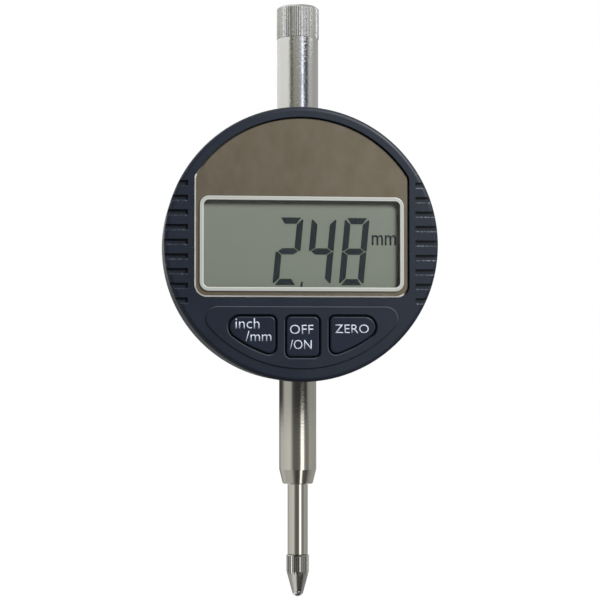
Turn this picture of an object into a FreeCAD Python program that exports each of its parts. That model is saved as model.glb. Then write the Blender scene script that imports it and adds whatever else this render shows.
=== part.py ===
"""Digital indicator with a round case: a spring-loaded measuring spindle under a display and three keys.

Millimetres, +Z up along the spindle, the face looks towards -Y.
The origin is on the spindle axis, at the shoulder where the clamping stem meets the case.
"""
import FreeCAD
import Part
import math
import os
from FreeCAD import Vector

X_AXIS = Vector(1, 0, 0)
Y_AXIS = Vector(0, 1, 0)
Z_AXIS = Vector(0, 0, 1)

# Case
case_clearance = 0.68       # from the corners of the display's carrier to the case's inside
seat_depth = 0.3            # flats for the stem and the dust cap, below the round
case_wall = 1.5
face_wall = 1.5
front_round = 1.0
rear_round = 1.0
inner_round = 0.6
cover_thickness = 2.0

# Window, its bezel and the trim plate around them
window_width = 41.6
window_height = 18.3
window_corner = 1.1
bezel_rim = 0.87
bezel_rise = 0.35
bezel_wall = 0.4
bezel_edge = 0.16
fit_gap = 0.06              # between pieces that are pushed together
pane_thickness = 0.5
trim_margin = 2.35          # from the plate's arc to the case's round
trim_border = 1.03          # from the bezel to the plate's sides
trim_foot = 1.2             # from the bezel to the plate's lower edge
trim_low_corner = 2.6
trim_high_corner = 2.0
trim_recess = 0.5
trim_thickness = 0.4
trim_bevel = 0.3
trim_gap = 0.12

# Grip grooves on both sides of the face
groove_count = 9
groove_pitch = 3.07
groove_lift = 0.35          # of the middle groove, above the case's centre
groove_width = 1.1
groove_depth = 0.7
groove_inset = 1.4          # from the trim plate's side

# Liquid crystal cell, its carrier and the circuit board
cell_border = 2.05          # behind the face, round the window
cell_glass = 1.1            # each of its two sheets of glass
cell_ledge = 1.8
carrier_gap = 0.1
carrier_wall = 1.0
carrier_ledge = 0.55
board_gap = 0.9             # from the cell's back to the board
board_thickness = 1.0
board_edge_gap = 0.8
strip_height = 1.4
strip_inset = 2.0           # from the cell's ends
chip_inset = 5.6            # from the board's edge
chip_lift = 2.5
chip_size = 9.0
chip_thickness = 1.6
crystal_radius = 1.0
crystal_length = 6.0
crystal_gap = 3.0           # below the chip
capacitor_width = 2.0
capacitor_height = 1.2
capacitor_thickness = 0.8
capacitor_pitch = 3.0

# Key panel and keys
panel_margin = 2.75         # from its arc to the case's round
panel_drop = 1.96           # from the trim plate to the panel
panel_corner = 2.6
panel_rise = 0.3
panel_bevel = 0.18
key_drop = 2.17             # from the panel's upper edge to the keys
key_margin = 2.2            # from the panel's arc to the side keys' arc
middle_key_lift = 0.43      # of its lower edge above that arc
middle_key_half_width = 3.42
side_key_start_x = 5.8
key_small_corner = 1.0
key_low_corner = 1.3
key_end_corner = 2.2
key_gap = 0.3
key_rise = 0.35
key_edge = 0.3
key_travel = 0.6
key_flange = 0.85
key_flange_thickness = 0.8
key_plunger_radius = 1.3
plunger_inset = 4.55        # of a side key's plunger, from its straight end
plunger_drop = 3.4          # from the upper edge of the keys
hole_bevel = 0.25
bevel_left = 0.005          # of the mouth's straight wall
dome_radius = 2.0
dome_height = 0.35
dome_rim = 0.14
dome_crown = 0.55           # of its radius, for the flat on top
dome_clearance = 0.05       # left under a key that is fully down

# Clamping stem, bushes and spindle
stem_radius = 4.0
stem_length = 19.1
stem_taper_length = 3.1
stem_end_radius = 3.27
stem_edge = 0.15
stem_seat_gap = 1.0         # round the stem, in the case's flat
bush_bore = 2.7
neck_radius = 3.0
neck_length = 9.5
neck_wall = 0.6
spindle_radius = 2.18
spindle_edge = 0.25
running_gap = 0.03
spindle_travel = 12.7
travel_margin = 2.55        # between contact point and stem when the spindle is fully up
lower_bush_length = 10.0
lower_bush_inset = 0.55
upper_bush_length = 5.0
upper_bush_wall = 1.05

# Contact point
tip_collar_radius = 2.44
tip_collar_length = 3.45
tip_cone_length = 4.4
tip_end_radius = 1.25
tip_edge = 0.2
tip_flute_count = 30
tip_flute_depth = 0.2
ball_radius = 1.28
ball_stand_out = 1.1
stud_radius = 1.2
stud_length = 5.0

# Dust cap
cap_radius = 4.45
cap_head_radius = 4.57
cap_length = 23.1
cap_head_length = 7.0
cap_bore = 2.75
cap_end_wall = 1.8
cap_end_gap = 2.5           # over the spindle when it is fully up
cap_edge = 0.45
cap_spigot_radius = 3.45
cap_spigot_length = 3.9
cap_flute_count = 60
cap_flute_depth = 0.22
flute_share = 0.94          # of a knurl's pitch, for each groove
flute_over = 0.3            # of a groove's depth, for its cutter past the surface

# Frame
frame_gap = 0.2             # from the case's inside
frame_plate_gap = 0.5       # behind the scale's clamp
frame_plate_thickness = 1.6
frame_shoulder = 14.0
frame_shoulder_drop = 4.5   # below and above the standoffs
boss_wall = 0.7             # in front of the neck
boss_half_width = 6.5
top_boss_wall = 1.5         # in front of the cap's spigot
board_to_boss = 0.2
standoff_x = 11.0
standoff_drop = 5.9         # above the display's carrier
standoff_radius = 2.3
cover_gap = 1.3             # from the frame's plate to the rear cover
washer_radius = 3.4
washer_thickness = 1.0

# Measuring scale on the spindle
board_to_scale = 0.2
scale_thickness = 0.8
scale_half_width = 3.5
scale_end_gap = 1.2         # under the top boss when the spindle is fully up
clamp_half_width = 5.0
clamp_length = 12.0
clamp_back_wall = 0.95
guide_pin_radius = 0.9
guide_pin_up = 9.0          # above the clamp's lower face
guide_gap = 0.05
clamp_screw_radius = 1.0
clamp_screw_up = 5.5

# Return spring
spring_x = 7.3
spring_radius = 1.25
spring_wire = 0.35
spring_arm_step = 0.015      # by which the arms across the coil's ends are slimmer than the wire
spring_turns = 8
spring_pin_radius = 0.55
spring_pin_front = 1.1      # in front of the spindle's axis
spring_pin_wall = 0.7       # round the upper pin
spring_gap = 2.1            # from the lower boss to the lower pin
arm_reach = 1.3             # past the spring's axis
arm_front_y = 0.6
arm_thickness = 1.2

# Screws
post_inset = 1.8            # of the posts' axes, from the case's inside
post_angle = 36.4
post_radius = 2.2
screw_radius = 1.1
screw_head_radius = 2.0
screw_head_depth = 1.0
screw_slot = 0.5
screw_cross_reach = 0.62    # of the head's radius
screw_cross_sink = 0.7      # of the head's depth
thread_gap = 0.02
hole_gap = 0.1              # round a screw, in the piece it holds down
cover_screw_length = 8.0
frame_screw_end = 0.6       # from its tip to the face's inside

# Lug
lug_to_door = 1.1           # between the lug's base and the battery door
lug_corner = 2.0
lug_inset = 1.0
lug_gap = 0.1
lug_base = 2.0
lug_ear_half = 2.5
lug_end_radius = 5.2
lug_hole_radius = 3.25
lug_hole_out = 4.4          # from the base's outside to the hole's axis
lug_screw_inset = 3.0
lug_screw_radius = 1.2
lug_boss_radius = 1.9
lug_screw_floor = 0.5       # of frame plate in front of its tip

# Battery, its well and its door
battery_radius = 5.8
battery_height = 5.4
battery_edge = 0.3
battery_cap_inset = 1.0
battery_cap_height = 0.3
well_gap = 0.32
well_wall = 0.8
well_floor = 0.6
well_inset = 3.88           # from the case's inside
well_to_frame = 0.68
contact_sheet = 0.25
contact_width = 3.0
contact_foot = 1.6
contact_gap = 0.15          # round a contact's leg
door_cover = 0.1            # past the cell, towards the middle
door_half_height = 7.5
door_thickness = 1.6
door_gap = 0.1
door_tongue = 0.8
door_tongue_thickness = 0.6
door_pad = 0.9
pad_border = 0.9            # of the track's pad past the tongues
lip_height = 1.1            # of the rear cover's rim inside the case
lip_width = 1.4
door_rib_count = 4
door_rib_pitch = 1.5
door_rib_width = 0.7
door_rib_depth = 0.35
door_rib_length = 8.0
door_rib_inset = 4.0

# Depths, from the spindle's axis towards the face and towards the back
boss_front_y = -(neck_radius + boss_wall)
board_back_y = boss_front_y - board_to_boss
board_front_y = board_back_y - board_thickness
cell_back_y = board_front_y - board_gap
cell_step_y = cell_back_y - cell_glass
face_inner_y = cell_step_y - cell_glass
face_y = face_inner_y - face_wall
trim_front_y = face_y + trim_recess
trim_back_y = trim_front_y + trim_thickness
bezel_front_y = trim_front_y - bezel_rise
panel_y = face_y - panel_rise
key_front_y = panel_y - key_rise
dome_top_y = board_front_y - dome_height
key_back_y = dome_top_y - dome_clearance - key_travel
scale_front_y = board_back_y + board_to_scale
clamp_front_y = scale_front_y + scale_thickness
clamp_back_y = spindle_radius + clamp_back_wall
frame_plate_y = clamp_back_y + frame_plate_gap
frame_back_y = frame_plate_y + frame_plate_thickness
shell_back_y = frame_back_y + cover_gap
back_y = shell_back_y + cover_thickness
door_inner_y = back_y - door_thickness
battery_back_y = door_inner_y - door_gap
battery_front_y = battery_back_y - battery_height
well_floor_y = battery_front_y - contact_sheet - well_floor
lug_base_y = back_y - lug_inset
lug_out_y = lug_base_y + lug_base
lug_hole_y = lug_out_y + lug_hole_out

# Places on the face, from the case's centre. The case is as round as the display's carrier needs.
cell_width = window_width + 2 * cell_border
cell_height = window_height + 2 * cell_border
carrier_half_width = cell_width / 2 + carrier_gap + carrier_wall
carrier_half_height = cell_height / 2 + carrier_gap + carrier_wall
inner_radius = math.hypot(carrier_half_width, carrier_half_height) + case_clearance
case_radius = inner_radius + case_wall
case_z = case_radius - seat_depth
board_radius = inner_radius - board_edge_gap
frame_radius = inner_radius - frame_gap
post_x = (inner_radius - post_inset) * math.cos(math.radians(post_angle))
post_z = (inner_radius - post_inset) * math.sin(math.radians(post_angle))
trim_radius = case_radius - trim_margin
trim_half_width = window_width / 2 + bezel_rim + trim_border
trim_low_z = -(window_height / 2 + bezel_rim + trim_foot)
groove_start_x = trim_half_width + groove_inset
standoff_z = carrier_half_height + standoff_drop
panel_radius = case_radius - panel_margin
panel_top_z = trim_low_z - panel_drop
key_top_z = panel_top_z - key_drop
key_arc_radius = panel_radius - key_margin
key_low_z = middle_key_lift - key_arc_radius
well_radius = battery_radius + well_gap
battery_x = inner_radius - well_inset - well_wall - well_radius
frame_waist = battery_x - well_radius - well_wall - well_to_frame
chip_x = -(board_radius - chip_inset - chip_size / 2)
door_start_x = battery_x - battery_radius + door_cover
lug_half = door_start_x - lug_to_door
lug_screw_at = lug_half - lug_screw_inset

# Heights along the spindle
nose_z = -stem_length - stem_taper_length
lower_bush_top_z = nose_z + lower_bush_inset + lower_bush_length
spindle_low_z = nose_z - spindle_travel - travel_margin
tip_cone_z = spindle_low_z - tip_collar_length
tip_end_z = tip_cone_z - tip_cone_length
cap_seat_z = case_z + case_radius - seat_depth
cap_top_z = cap_seat_z + cap_length
spindle_top_z = cap_top_z - cap_end_wall - cap_end_gap - spindle_travel
upper_bush_top_z = cap_seat_z - cap_spigot_length
top_boss_z = upper_bush_top_z - upper_bush_length
clamp_low_z = neck_length + washer_thickness + fit_gap
clamp_top_z = clamp_low_z + clamp_length
scale_length = top_boss_z - scale_end_gap - spindle_travel - clamp_low_z
guide_pin_z = clamp_low_z + guide_pin_up
low_pin_z = neck_length + spring_gap
high_pin_z = clamp_top_z - spring_pin_radius - spring_pin_wall
OVER = 2.0                  # how far a cutting tool passes the face it starts from
SAME = 1e-4                 # places nearer than this count as one
SMOOTH = 0.999              # cosine of the angle below which two faces run on into each other


def at_case(x, y, z):
    """A point measured from the case's centre line."""
    return Vector(x, y, case_z + z)


def disc(radius, y_low, y_high, x=0.0, z=0.0):
    """A cylinder that lies along Y, placed from the case's centre."""
    return Part.makeCylinder(radius, y_high - y_low, at_case(x, y_low, z), Y_AXIS)


def cone(radius_low, radius_high, y_low, y_high, x, z):
    return Part.makeCone(radius_low, radius_high, y_high - y_low, at_case(x, y_low, z), Y_AXIS)


def slab(x_low, x_high, y_low, y_high, z_low, z_high):
    """A box with its heights measured from the case's centre."""
    corner = at_case(x_low, y_low, z_low)
    return Part.makeBox(x_high - x_low, y_high - y_low, z_high - z_low, corner)


def rod(radius, z_low, z_high, x=0.0, y=0.0):
    """A cylinder that stands along the spindle."""
    return Part.makeCylinder(radius, z_high - z_low, Vector(x, y, z_low), Z_AXIS)


def lathe(profile):
    """A turned piece on the spindle axis, from its (radius, height) corners."""
    points = [Vector(radius, 0, height) for radius, height in profile]
    face = Part.Face(Part.makePolygon(points + [points[0]]))
    return face.revolve(Vector(0, 0, 0), Z_AXIS, 360)


def runs_along_y(edge):
    ends = [vertex.Point for vertex in edge.Vertexes]
    if len(ends) != 2:
        return False
    step = ends[1] - ends[0]
    return abs(step.x) < SAME and abs(step.z) < SAME and abs(step.y) > SAME


def is_corner(shape, edge):
    """True where two faces meet at an angle, and not where one face runs on into the next."""
    point = edge.valueAt((edge.FirstParameter + edge.LastParameter) / 2)
    normals = []
    for face in shape.Faces:
        if any(edge.isSame(other) for other in face.Edges):
            u, v = face.Surface.parameter(point)
            normals.append(face.normalAt(u, v))
    return len(normals) == 2 and abs(normals[0].dot(normals[1])) < SMOOTH


def round_corners(shape, radius_at):
    """Rounds the edges that run along Y. radius_at(x, z) gives each one's radius."""
    corners = [e for e in shape.Edges if runs_along_y(e) and is_corner(shape, e)]
    for point in [e.Vertexes[0].Point for e in corners]:
        match = [e for e in shape.Edges if runs_along_y(e)
                 and abs(e.Vertexes[0].Point.x - point.x) < SAME
                 and abs(e.Vertexes[0].Point.z - point.z) < SAME]
        shape = shape.makeFillet(radius_at(point.x, point.z - case_z), match)
    return shape


def rounded_plate(width, height, corner, y_low, y_high):
    box = slab(-width / 2, width / 2, y_low, y_high, -height / 2, height / 2)
    return round_corners(box, lambda x, z: corner)


def front_edges(shape, y):
    """The edges that lie in the plane at y."""
    return [e for e in shape.Edges if all(abs(v.Point.y - y) < SAME for v in e.Vertexes)
            and abs(e.BoundBox.YMax - e.BoundBox.YMin) < SAME]


def both_sides(shape):
    """The shape and its mirror image across the spindle's plane."""
    return [shape, shape.mirror(Vector(0, 0, 0), X_AXIS)]


def four_corners(x, z):
    return [(sx * x, sz * z) for sx in (-1, 1) for sz in (-1, 1)]


def flutes(count, radius, depth, z_low, z_high):
    """V-shaped cutters around the spindle axis, for a straight knurl."""
    half_width = radius * math.sin(math.pi / count) * flute_share
    outer = radius + depth * flute_over
    points = [Vector(radius - depth, 0, z_low), Vector(outer, -half_width, z_low),
              Vector(outer, half_width, z_low)]
    cutter = Part.Face(Part.makePolygon(points + [points[0]])).extrude(Vector(0, 0, z_high - z_low))
    cutters = []
    for i in range(count):
        turned = cutter.copy()
        turned.rotate(Vector(0, 0, 0), Z_AXIS, 360.0 * (i + 0.5) / count)
        cutters.append(turned)
    return cutters


def screw(x, z, head_y, tip_y, radius, head_radius=screw_head_radius):
    """A countersunk screw driven from the back, with a cross recess."""
    body = disc(radius, tip_y, head_y, x, z)
    head = cone(radius, head_radius, head_y - screw_head_depth, head_y, x, z)
    arm = head_radius * screw_cross_reach
    half = screw_slot / 2
    depth = screw_head_depth * screw_cross_sink
    cross = [slab(x - arm, x + arm, head_y - depth, head_y + OVER, z - half, z + half),
             slab(x - half, x + half, head_y - depth, head_y + OVER, z - arm, z + arm)]
    return body.fuse(head).removeSplitter().cut(cross)


def screw_hole(x, z, head_y, tip_y, radius, head_radius=screw_head_radius):
    """The countersunk hole that a screw from the back sits in."""
    return [disc(radius, tip_y, head_y + OVER, x, z),
            cone(radius, head_radius + thread_gap, head_y - screw_head_depth, head_y, x, z)]


# Case


def shell_blank():
    """The round cup of the case, turned about its own axis."""
    corner = 1 - math.sqrt(0.5)
    r, e, i = case_radius, front_round, inner_round
    inside = inner_radius

    def point(radius, y):
        return at_case(radius, y, 0)

    edges = [
        Part.LineSegment(point(0, face_y), point(r - e, face_y)).toShape(),
        Part.Arc(point(r - e, face_y), point(r - e * corner, face_y + e * corner),
                 point(r, face_y + e)).toShape(),
        Part.LineSegment(point(r, face_y + e), point(r, shell_back_y)).toShape(),
        Part.LineSegment(point(r, shell_back_y), point(inside, shell_back_y)).toShape(),
        Part.LineSegment(point(inside, shell_back_y), point(inside, face_inner_y + i)).toShape(),
        Part.Arc(point(inside, face_inner_y + i),
                 point(inside - i * corner, face_inner_y + i * corner),
                 point(inside - i, face_inner_y)).toShape(),
        Part.LineSegment(point(inside - i, face_inner_y), point(0, face_inner_y)).toShape(),
        Part.LineSegment(point(0, face_inner_y), point(0, face_y)).toShape(),
    ]
    face = Part.Face(Part.Wire(edges))
    return face.revolve(at_case(0, 0, 0), Y_AXIS, 360)


def trim_outline(y_low, y_high, grow=0.0):
    """The arched outline of the trim plate, which follows the case's round."""
    low = trim_low_z - grow
    half = trim_half_width + grow
    box = slab(-half, half, y_low, y_high, low, case_radius)
    shape = box.common(disc(trim_radius + grow, y_low, y_high))

    def radius_at(x, z):
        return trim_low_corner if z < 0 else trim_high_corner

    return round_corners(shape, radius_at)


def panel_outline(y_low, y_high):
    """The key panel: flat above, and round below like the case."""
    box = slab(-case_radius, case_radius, y_low, y_high, -case_radius, panel_top_z)
    shape = box.common(disc(panel_radius, y_low, y_high))
    return round_corners(shape, lambda x, z: panel_corner)


def middle_key_outline(y_low, y_high, grow=0.0):
    half = middle_key_half_width + grow
    box = slab(-half, half, y_low, y_high, key_low_z - grow, key_top_z + grow)
    return round_corners(box, lambda x, z: key_small_corner + grow)


def side_key_outline(y_low, y_high, grow=0.0):
    """The right-hand key: straight at the middle, and a rounded point where it meets the arc."""
    top = key_top_z + grow
    start = side_key_start_x - grow
    box = slab(start, case_radius, y_low, y_high, -case_radius, top)
    shape = box.common(disc(key_arc_radius + grow, y_low, y_high))

    def radius_at(x, z):
        if x > start + key_small_corner:
            return key_end_corner + grow
        return key_small_corner + grow if abs(z - top) < SAME else key_low_corner + grow

    return round_corners(shape, radius_at)


def grip_grooves():
    """Short level grooves cut into both sides of the face."""
    cutters = []
    middle = (groove_count - 1) / 2
    for i in range(groove_count):
        z = (i - middle) * groove_pitch + groove_lift
        groove = slab(groove_start_x, case_radius + OVER, face_y - OVER, face_y + groove_depth,
                      z - groove_width / 2, z + groove_width / 2)
        cutters += both_sides(groove)
    return cutters


def bevelled_hole(outline):
    """A key's hole with a bevelled mouth in the panel."""
    straight = outline(panel_y - OVER, face_inner_y + OVER, key_gap)
    mouth = outline(panel_y - OVER, panel_y + hole_bevel, key_gap + hole_bevel)
    low = front_edges(mouth, panel_y + hole_bevel)
    return [straight, mouth.makeChamfer(hole_bevel - bevel_left, low)]


def front_shell():
    """The moulded front half of the case, with its posts, panel, pocket, holes and grips."""
    panel = panel_outline(panel_y, face_y + face_wall / 2)
    panel = panel.makeChamfer(panel_bevel, front_edges(panel, panel_y))
    posts = [disc(post_radius, face_inner_y - face_wall / 2, shell_back_y, x, z)
             for x, z in four_corners(post_x, post_z)]
    boss = disc(standoff_radius, face_inner_y - thread_gap, board_front_y, standoff_x, standoff_z)
    inside = disc(case_radius - case_wall / 2, face_inner_y - face_wall, shell_back_y)
    shell = shell_blank().fuse([panel] + [p.common(inside) for p in posts] + both_sides(boss))
    window = rounded_plate(window_width + 2 * bezel_wall + 2 * fit_gap,
                           window_height + 2 * bezel_wall + 2 * fit_gap,
                           window_corner + bezel_wall, face_y - OVER, face_inner_y + OVER)
    cuts = [trim_outline(face_y - OVER, trim_back_y, trim_gap), window]
    cuts += bevelled_hole(middle_key_outline)
    for cutter in bevelled_hole(side_key_outline):
        cuts += both_sides(cutter)
    cuts += grip_grooves()
    wall_inside_z = case_z - inner_radius
    cuts += [rod(stem_radius + stem_seat_gap, -OVER, 0),
             rod(neck_radius + hole_gap, -OVER, wall_inside_z + OVER),
             rod(cap_radius + stem_seat_gap, cap_seat_z, cap_seat_z + OVER),
             rod(cap_spigot_radius + hole_gap, cap_seat_z - case_wall - OVER, cap_seat_z + OVER)]
    cuts += [disc(screw_radius + thread_gap, shell_back_y - cover_screw_length, shell_back_y + OVER, x, z)
             for x, z in four_corners(post_x, post_z)]
    pilot = disc(screw_radius + thread_gap, face_inner_y + frame_screw_end / 2,
                 board_front_y + OVER, standoff_x, standoff_z)
    cuts += both_sides(pilot)
    return shell.cut(cuts).removeSplitter()


def trim_plate():
    """The thin metal front plate with a bevelled edge and the window's opening."""
    plate = trim_outline(trim_front_y, trim_back_y)
    plate = plate.makeChamfer(trim_bevel, front_edges(plate, trim_front_y))
    opening = rounded_plate(window_width + 2 * bezel_wall + 2 * fit_gap,
                            window_height + 2 * bezel_wall + 2 * fit_gap,
                            window_corner + bezel_wall, trim_front_y - OVER, trim_back_y + OVER)
    return plate.cut(opening)


def window_bezel():
    """The raised bright frame round the display, with a spigot through plate and case."""
    rim = rounded_plate(window_width + 2 * bezel_rim, window_height + 2 * bezel_rim,
                        window_corner + bezel_rim, bezel_front_y, trim_front_y)
    rim = rim.makeFillet(bezel_edge, front_edges(rim, bezel_front_y))
    spigot = rounded_plate(window_width + 2 * bezel_wall, window_height + 2 * bezel_wall,
                           window_corner + bezel_wall, trim_front_y - bezel_rise / 2, face_inner_y)
    opening = rounded_plate(window_width, window_height, window_corner,
                            bezel_front_y - OVER, face_inner_y + OVER)
    ring = rim.fuse(spigot).removeSplitter().cut(opening)
    inner = [e for e in front_edges(ring, bezel_front_y) if abs(e.Vertexes[0].X) <= window_width / 2
             and abs(e.Vertexes[0].Z - case_z) <= window_height / 2 + SAME]
    return ring.makeFillet(bezel_edge, inner)


def display_window():
    """The clear pane that lies over the display, inside the bezel."""
    return rounded_plate(window_width - 2 * fit_gap, window_height - 2 * fit_gap, window_corner,
                         face_inner_y - fit_gap - pane_thickness, face_inner_y - fit_gap)


# Display and electronics


def display_cell():
    """Two sheets of glass. The front one is taller and leaves a contact ledge above and below."""
    front = slab(-cell_width / 2, cell_width / 2, face_inner_y, cell_step_y,
                 -cell_height / 2, cell_height / 2)
    half = cell_height / 2 - cell_ledge
    back = slab(-cell_width / 2, cell_width / 2, cell_step_y, cell_back_y, -half, half)
    return front.fuse(back).removeSplitter()


def display_carrier():
    """The moulded tray that holds the glass and its contact strips on the board."""
    half_w = cell_width / 2 + carrier_gap
    half_h = cell_height / 2 + carrier_gap
    outer = slab(-carrier_half_width, carrier_half_width, face_inner_y, board_front_y,
                 -carrier_half_height, carrier_half_height)
    cell = slab(-half_w, half_w, face_inner_y - OVER, cell_back_y, -half_h, half_h)
    ledge_z = cell_height / 2 - cell_ledge - carrier_ledge
    ledge_x = cell_width / 2 - carrier_ledge * 2
    middle = slab(-ledge_x, ledge_x, cell_back_y - OVER, board_front_y + OVER, -ledge_z, ledge_z)
    slots = []
    for sign in (-1, 1):
        z = sign * (cell_height - cell_ledge) / 2
        half = strip_height / 2 + carrier_gap / 2
        slots.append(slab(strip_inset - cell_width / 2 - carrier_gap,
                          cell_width / 2 - strip_inset + carrier_gap,
                          cell_step_y, board_front_y + OVER, z - half, z + half))
    return outer.cut([cell, middle] + slots)


def contact_strips():
    """The two elastic strips that join the glass to the board."""
    strips = []
    for sign in (-1, 1):
        z = sign * (cell_height - cell_ledge) / 2
        strips.append(slab(strip_inset - cell_width / 2, cell_width / 2 - strip_inset,
                           cell_step_y, board_front_y, z - strip_height / 2, z + strip_height / 2))
    return Part.makeCompound(strips)


def circuit_board():
    """The round board, notched past the case's posts and the frame's top boss."""
    board = disc(board_radius, board_front_y, board_back_y)
    cuts = [disc(post_radius + frame_gap, board_front_y - OVER, board_back_y + OVER, x, z)
            for x, z in four_corners(post_x, post_z)]
    hole = disc(screw_radius + hole_gap, board_front_y - OVER, board_back_y + OVER,
                standoff_x, standoff_z)
    notch = slab(-boss_half_width - frame_gap, boss_half_width + frame_gap, board_front_y - OVER,
                 board_back_y + OVER, top_boss_z - case_z - frame_gap, case_radius)
    return board.cut(cuts + both_sides(hole) + [notch])


def board_chips():
    """The display chip, its quartz crystal and two capacitors, on the board's back."""
    y = board_back_y
    half = chip_size / 2
    chip = slab(chip_x - half, chip_x + half, y, y + chip_thickness, chip_lift - half, chip_lift + half)
    low_z = chip_lift - half - crystal_gap
    crystal = Part.makeCylinder(crystal_radius, crystal_length,
                                at_case(chip_x, y + crystal_radius, low_z - crystal_length), Z_AXIS)
    capacitors = []
    for i in range(2):
        x = chip_x + half - capacitor_width
        z = low_z - i * capacitor_pitch
        capacitors.append(slab(x, x + capacitor_width, y, y + capacitor_thickness,
                               z - capacitor_height, z))
    return Part.makeCompound([chip, crystal] + capacitors)


def key_centres():
    """Where the plunger of each key meets the board, as (x, z)."""
    side_x = side_key_start_x + plunger_inset
    side_z = key_top_z - plunger_drop
    middle_z = (key_top_z + key_low_z) / 2
    return {"left": (-side_x, side_z), "middle": (0.0, middle_z), "right": (side_x, side_z)}


def key_domes():
    """The three snap domes on the board, one under each key."""
    domes = []
    for x, z in key_centres().values():
        rim = disc(dome_radius, board_front_y - dome_rim, board_front_y, x, z)
        crown = cone(dome_radius * dome_crown, dome_radius, dome_top_y, board_front_y - dome_rim, x, z)
        domes.append(rim.fuse(crown).removeSplitter())
    return Part.makeCompound(domes)


def key(outline, centre, mirrored=False):
    """A moulded key: its cap through the panel, a flange behind the face, and a plunger."""
    cap = outline(key_front_y, face_inner_y + fit_gap)
    cap = cap.makeFillet(key_edge, front_edges(cap, key_front_y))
    flange_back_y = face_inner_y + fit_gap + key_flange_thickness
    flange = outline(face_inner_y + fit_gap, flange_back_y, key_flange)
    shape = cap.fuse(flange)
    if mirrored:
        shape = shape.mirror(Vector(0, 0, 0), X_AXIS)
    x, z = centre
    plunger = disc(key_plunger_radius, flange_back_y - fit_gap, key_back_y, x, z)
    return shape.fuse(plunger).removeSplitter()


# Frame, stem and spindle guides


def main_frame():
    """The cast frame: two bosses on the spindle axis, joined by a plate behind the spindle."""
    high = frame_radius
    top_front_y = -(cap_spigot_radius + top_boss_wall)
    plate = slab(-frame_waist, frame_waist, frame_plate_y, frame_back_y, -high, high)
    shoulder = slab(-frame_shoulder, frame_shoulder, frame_plate_y, frame_back_y,
                    standoff_z - frame_shoulder_drop, standoff_z + frame_shoulder_drop)
    low_boss = slab(-boss_half_width, boss_half_width, boss_front_y, frame_back_y,
                    -high, neck_length - case_z)
    top_boss = slab(-boss_half_width, boss_half_width, top_front_y, frame_back_y,
                    top_boss_z - case_z, high)
    standoff = disc(standoff_radius, board_back_y, frame_back_y, standoff_x, standoff_z)
    lug_bosses = [disc(lug_boss_radius, frame_plate_y, shell_back_y, x, z)
                  for x, z in four_corners(lug_screw_at, lug_screw_at)]
    frame = plate.fuse([shoulder, low_boss, top_boss] + both_sides(standoff) + lug_bosses)
    frame = frame.common(disc(frame_radius, top_front_y - OVER, shell_back_y))
    slot_half = guide_pin_radius + guide_gap
    slot = slab(-slot_half, slot_half, frame_plate_y - OVER, frame_back_y + OVER,
                guide_pin_z - case_z - slot_half, guide_pin_z - case_z + spindle_travel + slot_half)
    cuts = [rod(neck_radius + thread_gap, -OVER, neck_length + OVER),
            rod(spindle_radius + upper_bush_wall + thread_gap, top_boss_z - OVER, upper_bush_top_z),
            rod(cap_spigot_radius + thread_gap, upper_bush_top_z, cap_top_z), slot]
    for x in (-standoff_x, standoff_x):
        cuts += screw_hole(x, standoff_z, frame_back_y, board_back_y - OVER, screw_radius + thread_gap)
    cuts += [disc(lug_screw_radius + thread_gap, frame_plate_y + lug_screw_floor / 2,
                  shell_back_y + OVER, x, z)
             for x, z in four_corners(lug_screw_at, lug_screw_at)]
    cuts.append(disc(spring_pin_radius + thread_gap, frame_plate_y - OVER, frame_back_y + OVER,
                     spring_x, low_pin_z - case_z))
    return frame.cut(cuts).removeSplitter()


def frame_screws():
    screws = [screw(x, standoff_z, frame_back_y, face_inner_y + frame_screw_end, screw_radius)
              for x in (-standoff_x, standoff_x)]
    return Part.makeCompound(screws)


def stem():
    """The clamping stem: a turned sleeve with a tapered nose, and a neck held in the frame."""
    neck_bore = neck_radius - neck_wall
    profile = [(bush_bore, nose_z), (stem_end_radius - stem_edge, nose_z),
               (stem_end_radius, nose_z + stem_edge), (stem_radius, -stem_length), (stem_radius, 0),
               (neck_radius, 0), (neck_radius, neck_length), (neck_bore, neck_length),
               (neck_bore, lower_bush_top_z), (bush_bore, lower_bush_top_z)]
    return lathe(profile)


def bush(outer, z_low, length):
    inner = spindle_radius + running_gap
    return rod(outer, z_low, z_low + length).cut(rod(inner, z_low - OVER, z_low + length + OVER))


def lower_bush():
    return bush(bush_bore - thread_gap, nose_z + lower_bush_inset, lower_bush_length)


def upper_bush():
    return bush(spindle_radius + upper_bush_wall, top_boss_z, upper_bush_length)


def stop_washer():
    """The soft washer that the scale's clamp comes down on."""
    ring = rod(washer_radius, neck_length, neck_length + washer_thickness)
    return ring.cut(rod(spindle_radius + hole_gap, neck_length - OVER, clamp_low_z + OVER))


def spring_post():
    """The fixed pin that holds the return spring's lower loop."""
    return disc(spring_pin_radius, -spring_pin_front, frame_back_y, spring_x, low_pin_z - case_z)


# Moving spindle


def spindle():
    """The ground measuring rod, drilled below for the contact point."""
    edge = spindle_edge
    profile = [(0, spindle_low_z), (spindle_radius - edge, spindle_low_z),
               (spindle_radius, spindle_low_z + edge), (spindle_radius, spindle_top_z - edge),
               (spindle_radius - edge, spindle_top_z), (0, spindle_top_z)]
    hole = rod(stud_radius + thread_gap, spindle_low_z - OVER, spindle_low_z + stud_length + hole_gap)
    return lathe(profile).cut(hole)


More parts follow.
